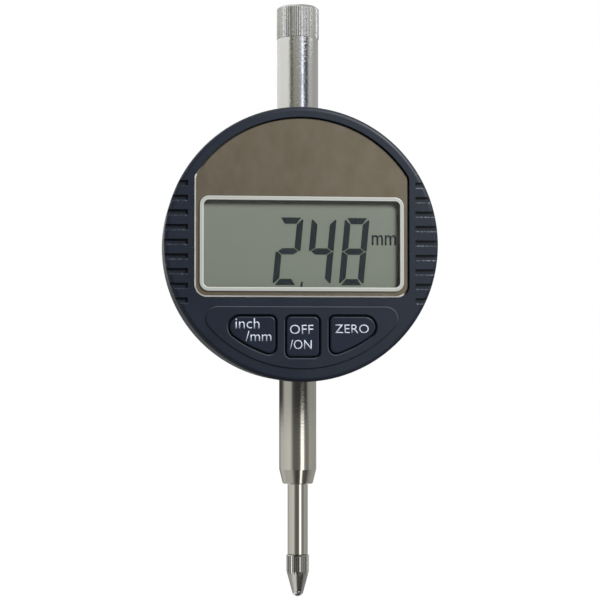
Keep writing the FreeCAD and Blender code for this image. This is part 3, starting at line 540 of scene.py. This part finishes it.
def bezel_silver():
    finish, shader = new_finish("bezel silver", linear(182, 185, 179), 0.3, specular=0.6)
    tree = finish.node_tree
    low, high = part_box("window_bezel")
    inside = frame_distance(tree, high.x, (high.z - low.z) / 2, bezel_corner * MM)
    # Painted reflection: lighter and darker tones across the rim, as a half round section would reflect
    # them.
    stops = [(share, linear(tone, tone + 2, tone - 4)) for share, tone in bezel_reflection_lines]
    tree.links.new(color_ramp(tree, remap(tree, inside, 0, bezel_rim * MM), stops),
                   shader.inputs["Base Color"])
    depth = add_group(finish, depth_behind, Front=low.y)
    foil = remap(tree, depth, bezel_foil - 0.05, bezel_foil + 0.05)
    paint_over(finish, shader, foil, linear(16, 18, 19))
    return finish


wear(bezel_silver(), "window_bezel")


# %% [markdown]
# ## Turned and ground metal
# The stem, the spindle and the cap are polished, almost a mirror, with faint lines round them from
# the wheel. Shallow dimples under the plating of the cap and the stem break a bright reflection into
# sparkles. Brass bushes guide the spindle, and the frame inside is cast and dull.

# %% Kinds of metal


def turned_metal(name, color, shiny, dull, lines_per_mm, depth_mm):
    """Polished metal whose fine lines run round the spindle's axis."""
    finish, shader = new_finish(name, color, dull, metallic=1.0)
    add_handling(finish, shader, 6.0, shiny, dull)
    lines = add_group(finish, fine_lines, Across_x=60.0, Across_y=60.0, Across_z=lines_per_mm / MM)
    add_bump(finish, shader, lines, depth_mm)
    return finish


def add_dimples(finish, size_mm, depth_mm):
    """Shallow dimples on top of the lines that a turned metal has."""
    shader = finish.node_tree.nodes["Principled BSDF"]
    lines = shader.inputs["Normal"].links[0].from_node
    dimples = add_bump(finish, shader, add_group(finish, moulded_grain, Size_mm=size_mm), depth_mm)
    finish.node_tree.links.new(lines.outputs["Normal"], dimples.inputs["Normal"])


def plain_metal(name, color, roughness, grain_mm, depth_mm):
    """Metal with no direction, such as a casting, a plated can or a screw."""
    finish, shader = new_finish(name, color, roughness, metallic=1.0)
    add_grain(finish, shader, grain_mm, depth_mm)
    return finish


# %% Metals outside: polished, with their colour, two roughnesses, lines per mm and depth
stem_steel = turned_metal("stem steel", linear(208, 205, 193), 0.06, 0.1, 14.0, 0.0006)
spindle_steel = turned_metal("spindle steel", linear(210, 207, 196), 0.06, 0.1, 16.0, 0.0005)
point_steel = turned_metal("point steel", linear(196, 195, 188), 0.1, 0.16, 12.0, 0.001)
cap_metal = turned_metal("cap metal", linear(206, 205, 201), 0.06, 0.1, 12.0, 0.001)
add_dimples(cap_metal, 0.42, 0.03)
add_dimples(stem_steel, 0.4, 0.005)
wear(stem_steel, "stem")
wear(spindle_steel, "spindle")
wear(point_steel, "contact_point")
wear(cap_metal, "dust_cap")

# %% Metals of the small and hidden pieces: colour, roughness, grain in mm and its depth
wear(turned_metal("bush brass", linear(205, 170, 96), 0.25, 0.35, 8.0, 0.001), "lower_bush",
     "upper_bush")
plain_metals = {
    ("ball chrome", 214, 214, 214, 0.06, 0.3, 0.0002): ["contact_ball"],
    ("screw steel", 150, 150, 150, 0.32, 0.2, 0.002): [
        "frame_screws", "cover_screws", "lug_screws", "clamp_screw", "guide_pin", "spring_pin",
        "spring_post"],
    ("spring steel", 190, 190, 190, 0.2, 0.2, 0.001): [
        "return_spring", "key_domes", "battery_contact_negative", "battery_contact_positive"],
    ("cast metal", 176, 176, 174, 0.5, 0.3, 0.02): ["main_frame"],
    ("clamp metal", 190, 190, 190, 0.34, 0.2, 0.004): ["scale_clamp"],
    ("lug steel", 170, 170, 168, 0.36, 0.25, 0.004): ["lug_back"],
    ("cell steel", 214, 213, 210, 0.2, 0.3, 0.001): ["battery"],
}
for (metal, red, green, blue, roughness, grain_mm, depth_mm), nodes in plain_metals.items():
    wear(plain_metal(metal, linear(red, green, blue), roughness, grain_mm, depth_mm), *nodes)


# %% [markdown]
# ## Display glass and the clear window
# A liquid crystal display without its own light looks like grey-green paper behind glass.
# The cell gets that colour, a trace lighter above than below. The pane in front is real glass:
# Cycles would let it throw a dark shadow on the display, so shadow rays and soft light pass it
# freely, and only the eye meets it.

# %% Display glass and window


def display_glass():
    finish, shader = new_finish("display glass", linear(120, 127, 115), 0.6, specular=0.05)
    tree = finish.node_tree
    low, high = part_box("display_cell")
    share = remap(tree, parts_of(tree, own_place(tree))["Z"], low.z, high.z)
    tree.links.new(blend_colors(tree, share, linear(126, 133, 120), linear(132, 137, 127)),
                   shader.inputs["Base Color"])
    return finish


def clear_window():
    finish, shader = new_finish("clear window", (1, 1, 1, 1), 0.02)
    shader.inputs["Transmission Weight"].default_value = 1.0
    shader.inputs["IOR"].default_value = 1.15
    tree = finish.node_tree
    rays = tree.nodes.new("ShaderNodeLightPath").outputs
    free = math_node(tree, "MAXIMUM", rays["Is Shadow Ray"], rays["Is Diffuse Ray"])
    tree.links.new(math_node(tree, "SUBTRACT", 1, free), shader.inputs["Alpha"])
    return finish


wear(display_glass(), "display_cell")
wear(clear_window(), "display_window")

# %% [markdown]
# ## Soft and printed pieces inside
# They show only when the model is taken apart, so one simple recipe serves them all: a plain colour,
# a roughness and the moulded grain.

# %% Carrier, strips, washer, board and chips


def soft_finish(name, color, roughness, grain_mm, depth_mm):
    """Rubber, board or moulded pieces inside, with no metal in them."""
    finish, shader = new_finish(name, color, roughness)
    add_grain(finish, shader, grain_mm, depth_mm)
    return finish


wear(soft_finish("carrier plastic", linear(222, 222, 216), 0.5, 0.3, 0.01), "display_carrier")
wear(soft_finish("strip rubber", linear(58, 58, 60), 0.7, 0.2, 0.01), "contact_strips", "stop_washer")
wear(soft_finish("board green", linear(30, 92, 52), 0.35, 0.5, 0.006), "circuit_board",
     "measuring_scale")
wear(soft_finish("chip black", linear(24, 24, 26), 0.5, 0.2, 0.006), "board_chips")


# %% [markdown]
# ## Digits of the display
# Each digit has seven bars. They are cut at 45 degrees where they meet, with a hair of a gap, and
# the whole digit leans to the right. Three bar shapes are enough: an end bar, a side bar and the
# middle bar. Geometry Nodes place a copy of the right shape at every lit place, which is how the
# real glass is drawn: the same bars again and again. The tree then leans all copies at once.

# %% Sizes of a digit, in millimetres
digit_height = 14.3
digit_width = 5.3
bar_thickness = 1.34
bar_gap = 0.17
bar_corner = 0.42
bar_flat = 0.36
digit_lean = math.tan(math.radians(5.4))
digit_pitch = 7.05
digit_middle_z = -1.51
first_digit_x = -2.93
ink_thickness = 0.02
ink_y = display_face_y - ink_thickness * MM

# %% The three bar shapes, as thin plates


def new_plate(name, outline):
    """A flat piece in the plane of the face from its (x, z) corners in millimetres, as thick as ink."""
    count = len(outline)
    half = ink_thickness * MM / 2
    points = [(x * MM, depth, z * MM) for depth in (-half, half) for x, z in outline]
    faces = [list(range(count)), list(range(2 * count - 1, count - 1, -1))]
    for i in range(count):
        j = (i + 1) % count
        faces.append([j, i, i + count, j + count])
    mesh = bpy.data.meshes.new(name)
    mesh.from_pydata(points, [], faces)
    mesh.update()
    return bpy.data.objects.new(name, mesh)


def bar_shapes():
    """Outlines of the end bar, the middle bar and the side bar, each round its own middle."""
    half_w = digit_width / 2
    half_t = bar_thickness / 2
    inner = half_w - bar_thickness
    slack = bar_gap / 2
    end = [(-inner + slack, -half_t), (inner - slack, -half_t),
           (half_w - bar_corner - slack, half_t), (-half_w + bar_corner + slack, half_t)]
    tip = half_w - bar_corner
    middle = [(-tip + slack, 0), (-inner + slack, -half_t), (inner - slack, -half_t),
              (tip - slack, 0), (inner - slack, half_t), (-inner + slack, half_t)]
    half_l = digit_height / 4
    mitre = half_l - slack * math.sqrt(2)
    side = [(-half_t, slack - half_l), (-half_t + bar_flat, slack - half_l),
            (half_t, slack - half_l + half_t), (half_t, mitre - bar_thickness),
            (-half_t + bar_corner * 0.6, mitre - bar_corner * 0.6), (-half_t, mitre - bar_corner)]
    return {"bar_1_end": end, "bar_2_middle": middle, "bar_3_side": side}


bar_collection = bpy.data.collections.new("display bars")
for bar_name, bar_outline in bar_shapes().items():
    bar_collection.objects.link(new_plate(bar_name, bar_outline))

# %% [markdown]
# ### Where the bars lie
# One shape serves several places when it is turned by half a turn or mirrored, as the side bar
# serves all four sides. So a place is a row of five numbers: shape, x, z, half turns and mirror.

# %% Places of the seven bars, and the bars that are lit for each digit


def bar_places():
    side_x = (digit_width - bar_thickness) / 2
    end_z = (digit_height - bar_thickness) / 2
    side_z = digit_height / 4
    return {
        "top": (0, 0.0, end_z, 0, 1), "bottom": (0, 0.0, -end_z, 1, 1), "middle": (1, 0.0, 0.0, 0, 1),
        "upper left": (2, -side_x, side_z, 0, 1), "upper right": (2, side_x, side_z, 0, -1),
        "lower left": (2, -side_x, -side_z, 1, -1), "lower right": (2, side_x, -side_z, 1, 1),
    }


lit_bars = {
    "2": ("top", "upper right", "middle", "lower left", "bottom"),
    "4": ("upper left", "upper right", "middle", "lower right"),
    "8": ("top", "upper left", "upper right", "middle", "lower left", "lower right", "bottom"),
}

# %% The points that carry the bars


def lit_points(digits):
    """A mesh of loose points with what each bar needs as attributes."""
    rows = []
    for place, digit in enumerate(digits):
        for bar in lit_bars[digit]:
            shape, x, z, half_turn, mirror = bar_places()[bar]
            rows.append((shape, x + place * digit_pitch, z, half_turn, mirror))
    mesh = bpy.data.meshes.new("lit points")
    mesh.from_pydata([(x * MM, 0, z * MM) for _, x, z, _, _ in rows], [], [])
    shape = mesh.attributes.new("shape", "INT", "POINT")
    turn = mesh.attributes.new("turn", "FLOAT_VECTOR", "POINT")
    flip = mesh.attributes.new("flip", "FLOAT_VECTOR", "POINT")
    for i, (kind, _, _, half_turn, mirror) in enumerate(rows):
        shape.data[i].value = kind
        turn.data[i].vector = (0, math.pi * half_turn, 0)
        flip.data[i].vector = (mirror, 1, 1)
    return bpy.data.objects.new("display_digits", mesh)


# %% [markdown]
# ### The tree of the digits
# It puts one shape on each point, makes real geometry of the copies, leans them all by moving each
# point sideways in proportion to its height, and gives them their ink.

# %% Build the tree


def segment_tree():
    tree = bpy.data.node_groups.new("display segments", "GeometryNodeTree")
    tree.is_modifier = True
    for label, kind in (("Points", "Geometry"), ("Bars", "Collection"), ("Lean", "Float"),
                        ("Ink", "Material")):
        tree.interface.new_socket(label, in_out="INPUT", socket_type="NodeSocket" + kind)
    tree.interface.new_socket("Segments", in_out="OUTPUT", socket_type="NodeSocketGeometry")
    nodes, links = tree.nodes, tree.links
    start, end = nodes.new("NodeGroupInput"), nodes.new("NodeGroupOutput")
    shapes = nodes.new("GeometryNodeCollectionInfo")
    shapes.inputs["Separate Children"].default_value = True
    shapes.inputs["Reset Children"].default_value = True
    links.new(start.outputs["Bars"], shapes.inputs["Collection"])
    copies = nodes.new("GeometryNodeInstanceOnPoints")
    copies.inputs["Pick Instance"].default_value = True
    links.new(start.outputs["Points"], copies.inputs["Points"])
    links.new(shapes.outputs[0], copies.inputs["Instance"])
    for name, kind, socket in (("shape", "INT", "Instance Index"), ("turn", "FLOAT_VECTOR", "Rotation"),
                               ("flip", "FLOAT_VECTOR", "Scale")):
        read = nodes.new("GeometryNodeInputNamedAttribute")
        read.data_type = kind
        read.inputs["Name"].default_value = name
        links.new(read.outputs["Attribute"], copies.inputs[socket])
    real = nodes.new("GeometryNodeRealizeInstances")
    links.new(copies.outputs[0], real.inputs[0])
    lean, sideways = nodes.new("GeometryNodeSetPosition"), nodes.new("ShaderNodeCombineXYZ")
    height = parts_of(tree, nodes.new("GeometryNodeInputPosition").outputs[0])["Z"]
    links.new(multiply(tree, height, start.outputs["Lean"]), sideways.inputs["X"])
    links.new(real.outputs[0], lean.inputs["Geometry"])
    links.new(sideways.outputs[0], lean.inputs["Offset"])
    paint = nodes.new("GeometryNodeSetMaterial")
    links.new(lean.outputs[0], paint.inputs["Geometry"])
    links.new(start.outputs["Ink"], paint.inputs["Material"])
    links.new(paint.outputs[0], end.inputs[0])
    return tree


# %% [markdown]
# ### Ink, and how a piece is finished
# A piece that was made with modifiers, or away from its place, is settled: its modifiers and its
# place go into the mesh, its faces are turned outwards, and it is told which body it rides on.

# %% Ink


def ink_finish(name, color, roughness):
    finish, shader = new_finish(name, color, roughness, specular=0.08)
    add_grain(finish, shader, 0.2, 0.002)
    return finish


display_ink = ink_finish("display ink", linear(33, 40, 42), 0.6)
label_ink = ink_finish("label ink", linear(224, 234, 250), 0.5)

# %% Settle a piece


def fix_normals(mesh):
    """Turns every face outwards, because a mirrored copy comes out inside out."""
    work = bmesh.new()
    work.from_mesh(mesh)
    bmesh.ops.remove_doubles(work, verts=work.verts, dist=1e-7)
    bmesh.ops.recalc_face_normals(work, faces=work.faces)
    work.to_mesh(mesh)
    work.free()


def plain_mesh(item):
    """What an object looks like with all its modifiers, as a mesh of its own."""
    bpy.context.view_layer.update()
    return bpy.data.meshes.new_from_object(item.evaluated_get(bpy.context.evaluated_depsgraph_get()))


def settle(piece, shift, body):
    """Bakes modifiers and a place into the mesh, and lets the piece ride on its body."""
    plain = plain_mesh(piece)
    plain.name = piece.name
    piece.modifiers.clear()
    piece.data = plain
    plain.transform(Matrix.Translation(shift))
    fix_normals(plain)
    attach(piece, body)
    print(piece.name, "has", len(plain.polygons), "faces and rides on", body)


# %% Make the digits


def make_digits():
    piece = lit_points("248")
    scene.collection.objects.link(piece)
    tree = segment_tree()
    modifier = piece.modifiers.new("segments", "NODES")
    modifier.node_group = tree
    values = {"Bars": bar_collection, "Lean": digit_lean, "Ink": display_ink}
    for item in tree.interface.items_tree:
        if item.name in values:
            modifier[item.identifier] = values[item.name]
    settle(piece, on_face(first_digit_x, digit_middle_z, ink_y), "case")


make_digits()


# %% [markdown]
# ## Decimal mark, unit and key labels
# Between the first two digits stands a small slanted comma, and the unit stands behind the last
# one. The keys are printed with what they do. Blender's own plain typeface is close enough: each
# word is set once, measured, and then fitted to the height and width that the print has.

# %% A helper that sets a word as a thin mesh


def set_word(name, text, corner_mm, size_mm, y, body, ink, weight):
    """A word whose box has its lower left corner and size in millimetres from the case's middle."""
    curve = bpy.data.curves.new(name + " text", "FONT")
    curve.body = text
    curve.resolution_u = 3
    curve.offset = weight
    source = bpy.data.objects.new(name + "_source", curve)
    scene.collection.objects.link(source)
    flat = plain_mesh(source)
    bpy.data.objects.remove(source)
    xs = [v.co.x for v in flat.vertices]
    ys = [v.co.y for v in flat.vertices]
    fit_x = size_mm[0] / (max(xs) - min(xs))
    fit_y = size_mm[1] / (max(ys) - min(ys))
    for v in flat.vertices:
        v.co = ((v.co.x - min(xs)) * fit_x * MM, 0, (v.co.y - min(ys)) * fit_y * MM)
    piece = bpy.data.objects.new(name, flat)
    flat.materials.clear()
    flat.materials.append(ink)
    scene.collection.objects.link(piece)
    thick = piece.modifiers.new("thickness", "SOLIDIFY")
    thick.thickness = ink_thickness * MM
    thick.offset = 0
    settle(piece, on_face(*corner_mm, y), body)


# %% Comma and unit
comma_outline = [(-0.32, -0.54), (0.14, -0.54), (0.28, 0.54), (-0.18, 0.54)]
comma_middle = (-0.02, -8.5)
unit_corner = (14.93, -0.11)
unit_size = (5.26, 2.2)
unit_weight = 0.008

comma = new_plate("decimal_mark", comma_outline)
comma.data.materials.append(display_ink)
scene.collection.objects.link(comma)
settle(comma, on_face(*comma_middle, ink_y), "case")
set_word("unit_label", "mm", unit_corner, unit_size, ink_y, "case", display_ink,
         unit_weight)

# %% Labels of the three keys: each word with its lower left corner and its size
label_weight = -0.004
label_sink = 0.3
key_print = {
    "inch_mm_key": [("inch", (-14.2, -17.86), (5.05, 2.19)), ("/mm", (-12.05, -20.51), (5.39, 2.13))],
    "power_key": [("OFF", (-2.77, -19.02), (4.94, 1.97)), ("/ON", (-2.76, -22.18), (4.6, 1.95))],
    "zero_key": [("ZERO", (6.76, -18.81), (7.2, 1.83))],
}
for key_name, words in key_print.items():
    key_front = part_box(key_name)[0].y - ink_thickness * MM * label_sink
    for number, (word, corner, size) in enumerate(words):
        set_word(f"{key_name}_label_{number + 1}", word, corner, size, key_front, key_name,
                 label_ink, label_weight)


# %% [markdown]
# ## Studio: background and floor
# The real thing was photographed on white. A pale floor lies some way below it. Both the world and
# the floor are white to the eye, in reflections and through glass, but give little light of their
# own, so that dark plastic keeps its depth. Light Path tells the two kinds of rays apart.

# %% World and floor
world_light = 0.03
floor_lift = 0.97
floor_z = -0.3
floor_half = 4.0


def seen_rays(tree):
    """1 for rays that the eye follows: from the camera, off gloss or through glass."""
    rays = tree.nodes.new("ShaderNodeLightPath").outputs
    seen = math_node(tree, "MAXIMUM", rays["Is Camera Ray"], rays["Is Glossy Ray"])
    return math_node(tree, "MAXIMUM", seen, rays["Is Transmission Ray"])


def white_world():
    world = bpy.data.worlds.new("white world")
    world.use_nodes = True
    tree = world.node_tree
    tree.nodes.clear()
    background, out = tree.nodes.new("ShaderNodeBackground"), tree.nodes.new("ShaderNodeOutputWorld")
    background.inputs["Color"].default_value = (1, 1, 1, 1)
    tree.links.new(remap(tree, seen_rays(tree), 0, 1, world_light, 1), background.inputs["Strength"])
    tree.links.new(background.outputs[0], out.inputs["Surface"])
    scene.world = world


def make_floor():
    corners = [(x * floor_half, y * floor_half, floor_z) for x, y in ((-1, -1), (1, -1), (1, 1), (-1, 1))]
    mesh = bpy.data.meshes.new("floor")
    mesh.from_pydata(corners, [], [(0, 1, 2, 3)])
    floor = bpy.data.objects.new("floor", mesh)
    scene.collection.objects.link(floor)
    finish, shader = new_finish("floor white", (0.5, 0.5, 0.5, 1), 0.9, specular=0.1)
    shader.inputs["Emission Color"].default_value = (1, 1, 1, 1)
    tree = finish.node_tree
    tree.links.new(multiply(tree, seen_rays(tree), floor_lift), shader.inputs["Emission Strength"])
    mesh.materials.append(finish)


white_world()
make_floor()
print("world and floor: white to the eye, light", world_light)

# %% [markdown]
# ## Studio: a tent for the polished metal
# A polished cylinder shows nothing but what stands around it, squeezed into stripes. So a round tent
# of light and dark cloths stands about the metal, and only reflections see it. Each row of cloths is
# a ramp round the whole turn. The rows differ by height, because the slanted nose, the shoulder and
# the knurled head each look to another part of the tent.

# %% The cloths: brightness by direction
# An angle of 0 is straight in front of the display, and angles grow to the right of it. A third
# entry tints a cloth.
warm_green, pale_green, ivory = (0.9, 1.0, 0.7), (0.95, 1.0, 0.8), (1.0, 1.0, 0.92)
cream, ice, sky = (1.0, 0.98, 0.93), (0.97, 0.98, 1.0), (0.9, 0.95, 1.08)
lamp_blue, cool_blue, deep_blue = (0.88, 0.93, 1.12), (0.85, 0.92, 1.15), (0.8, 0.9, 1.2)
cloths_bottom = [(-180, 0.12), (-60, 0.14), (0, 0.08), (90, 0.12)]
cloths_for_point = [(-180, 1.0), (-60, 0.95), (-32, 0.9), (-20, 0.35), (-8, 0.06), (50, 0.06),
                    (66, 0.1), (84, 0.33), (104, 0.45), (134, 0.9)]
cloths_for_nose = [(-180, 0.3), (-140, 0.45), (-66, 0.55), (-45, 0.48), (-38, 0.3), (-30, 0.16),
                   (-20, 0.08), (-4, 0.07), (8, 0.15), (14, 1.7), (21, 1.7), (28, 0.3), (34, 0.12),
                   (58, 0.1), (68, 0.2), (76, 0.32), (140, 0.38)]
cloths_level = [(-180, 0.35), (-150, 0.3), (-133, 0.6), (-66, 0.74), (-52, 0.72), (-43, 0.46),
                (-35, 0.2), (-26, 0.15), (-4, 0.15), (5, 0.22), (10, 0.3), (15, 1.9), (29, 1.9),
                (36, 0.5), (43, 0.28), (50, 0.24), (63, 0.25), (70, 0.46), (100, 0.44), (140, 0.4)]
cloths_shoulder = [(-180, 0.06), (-125, 0.06), (-108, 0.16), (-100, 0.42), (-85, 0.52), (-55, 0.5),
                   (-46, 0.42), (-42, 0.23), (-36, 0.1), (-24, 0.05), (0, 0.035), (40, 0.05),
                   (50, 0.06), (58, 0.3), (75, 0.38), (140, 0.38)]
cloths_above = [(-180, 0.6), (-133, 1.0), (-62, 1.0), (-52, 0.7), (-46, 0.24, warm_green),
                (-41, 0.15, warm_green), (-33, 0.26, pale_green), (-24, 0.38, ivory),
                (0, 0.44, cream), (9, 0.5, ice), (14, 0.55, sky), (17, 1.7, lamp_blue),
                (24, 1.7, lamp_blue), (27, 0.6, cool_blue), (34, 0.16, deep_blue),
                (47, 0.1, deep_blue), (58, 0.58), (70, 0.62), (90, 0.5), (140, 0.5)]
cloths_top = [(-180, 1.0), (-56, 1.15), (-46, 0.4), (-34, 0.3), (-26, 0.9), (-18, 0.3), (-8, 0.9),
              (0, 0.35), (8, 1.7), (14, 0.5), (20, 2.2), (27, 0.5), (34, 2.0), (42, 0.35), (60, 0.6),
              (66, 1.5), (84, 1.5), (94, 0.4), (140, 0.5)]

# %% The rows: each fades in between its two heights in millimetres
tent_radius = 0.28
tent_rows = [(cloths_for_point, -250, -235), (cloths_for_nose, -186, -174), (cloths_level, -130, -110),
             (cloths_shoulder, -25, -13), (cloths_level, 4, 20), (cloths_above, 70, 95),
             (cloths_top, 126, 129)]


def cloth_stops(cloths):
    """Stops over the whole turn, from the back through the front to the back again."""
    stops = []
    for angle, level, *tint in cloths + [(180, *cloths[0][1:])]:
        color = [level * share for share in (tint[0] if tint else (1, 1, 1))]
        stops.append(((angle + 180) / 360, (*color, 1)))
    return stops


def tent_finish():
    material = bpy.data.materials.new("tent cloths")
    material.use_nodes = True
    tree = material.node_tree
    tree.nodes.clear()
    place = parts_of(tree, own_place(tree))
    angle = math_node(tree, "ARCTAN2", place["X"], multiply(tree, place["Y"], -1))
    turn = remap(tree, angle, -math.pi, math.pi)
    tone = color_ramp(tree, turn, cloth_stops(cloths_bottom))
    for cloths, low_mm, high_mm in tent_rows:
        row = color_ramp(tree, turn, cloth_stops(cloths))
        tone = blend_colors(tree, remap(tree, place["Z"], low_mm * MM, high_mm * MM), tone, row)
    glow, out = tree.nodes.new("ShaderNodeEmission"), tree.nodes.new("ShaderNodeOutputMaterial")
    tree.links.new(tone, glow.inputs["Color"])
    tree.links.new(glow.outputs[0], out.inputs["Surface"])
    return material


# %% Put up the tent


def make_tent():
    mesh = bpy.data.meshes.new("studio_tent")
    work = bmesh.new()
    bmesh.ops.create_uvsphere(work, u_segments=96, v_segments=48, radius=tent_radius)
    bmesh.ops.reverse_faces(work, faces=work.faces)
    work.to_mesh(mesh)
    work.free()
    mesh.materials.append(tent_finish())
    tent = bpy.data.objects.new("studio_tent", mesh)
    scene.collection.objects.link(tent)
    for kind in ("camera", "diffuse", "transmission", "volume_scatter", "shadow"):
        setattr(tent, "visible_" + kind, False)


make_tent()
print("tent:", len(tent_rows) + 1, "rows of cloths")

# %% [markdown]
# ## Studio: lamps
# One disk lamp high on the right gives the display its soft shadow edges and lights all that faces
# the front. A second one behind serves those who walk round the model. Their power is set so that a
# colour renders about as it is written.

# %% Lamps
lamp_distance = 0.8


def aim(item, place, target):
    """Puts a lamp or camera at a place and turns it to look at a target."""
    item.location = place
    item.rotation_euler = (target - place).to_track_quat("-Z", "Y").to_euler()


def make_lamp(name, direction, size, power):
    light = bpy.data.lights.new(name, "AREA")
    light.shape = "DISK"
    light.size = size
    light.energy = power
    lamp = bpy.data.objects.new(name, light)
    scene.collection.objects.link(lamp)
    aim(lamp, case_middle + direction.normalized() * lamp_distance, case_middle)
    print(name, "at", [round(c, 3) for c in lamp.location])


make_lamp("back lamp", Vector((-0.5, 1.0, 0.5)), size=0.5, power=6.0)
make_lamp("key lamp", lamp_way, size=0.34, power=7.3)


# %% [markdown]
# ## Camera
# The photograph was taken from some 35 centimetres away, a little to the left of the face and
# below its middle. From there the top of the dust cap curves up and the stem's lower edge down.

# %% Camera
camera_from_middle = Vector((-38.0, -350.0, -22.7)) * MM
target_from_middle = Vector((0.5, 0.0, -11.54)) * MM
lens_mm = 97.84

camera_data = bpy.data.cameras.new("camera")
camera_data.sensor_width = 36
camera_data.lens = lens_mm
camera_data.clip_start = 0.01
camera = bpy.data.objects.new("camera", camera_data)
scene.collection.objects.link(camera)
case_axis = Vector((0, 0, case_middle.z))
aim(camera, case_axis + camera_from_middle, case_axis + target_from_middle)
scene.camera = camera
print("camera at", [round(c, 4) for c in camera.location])
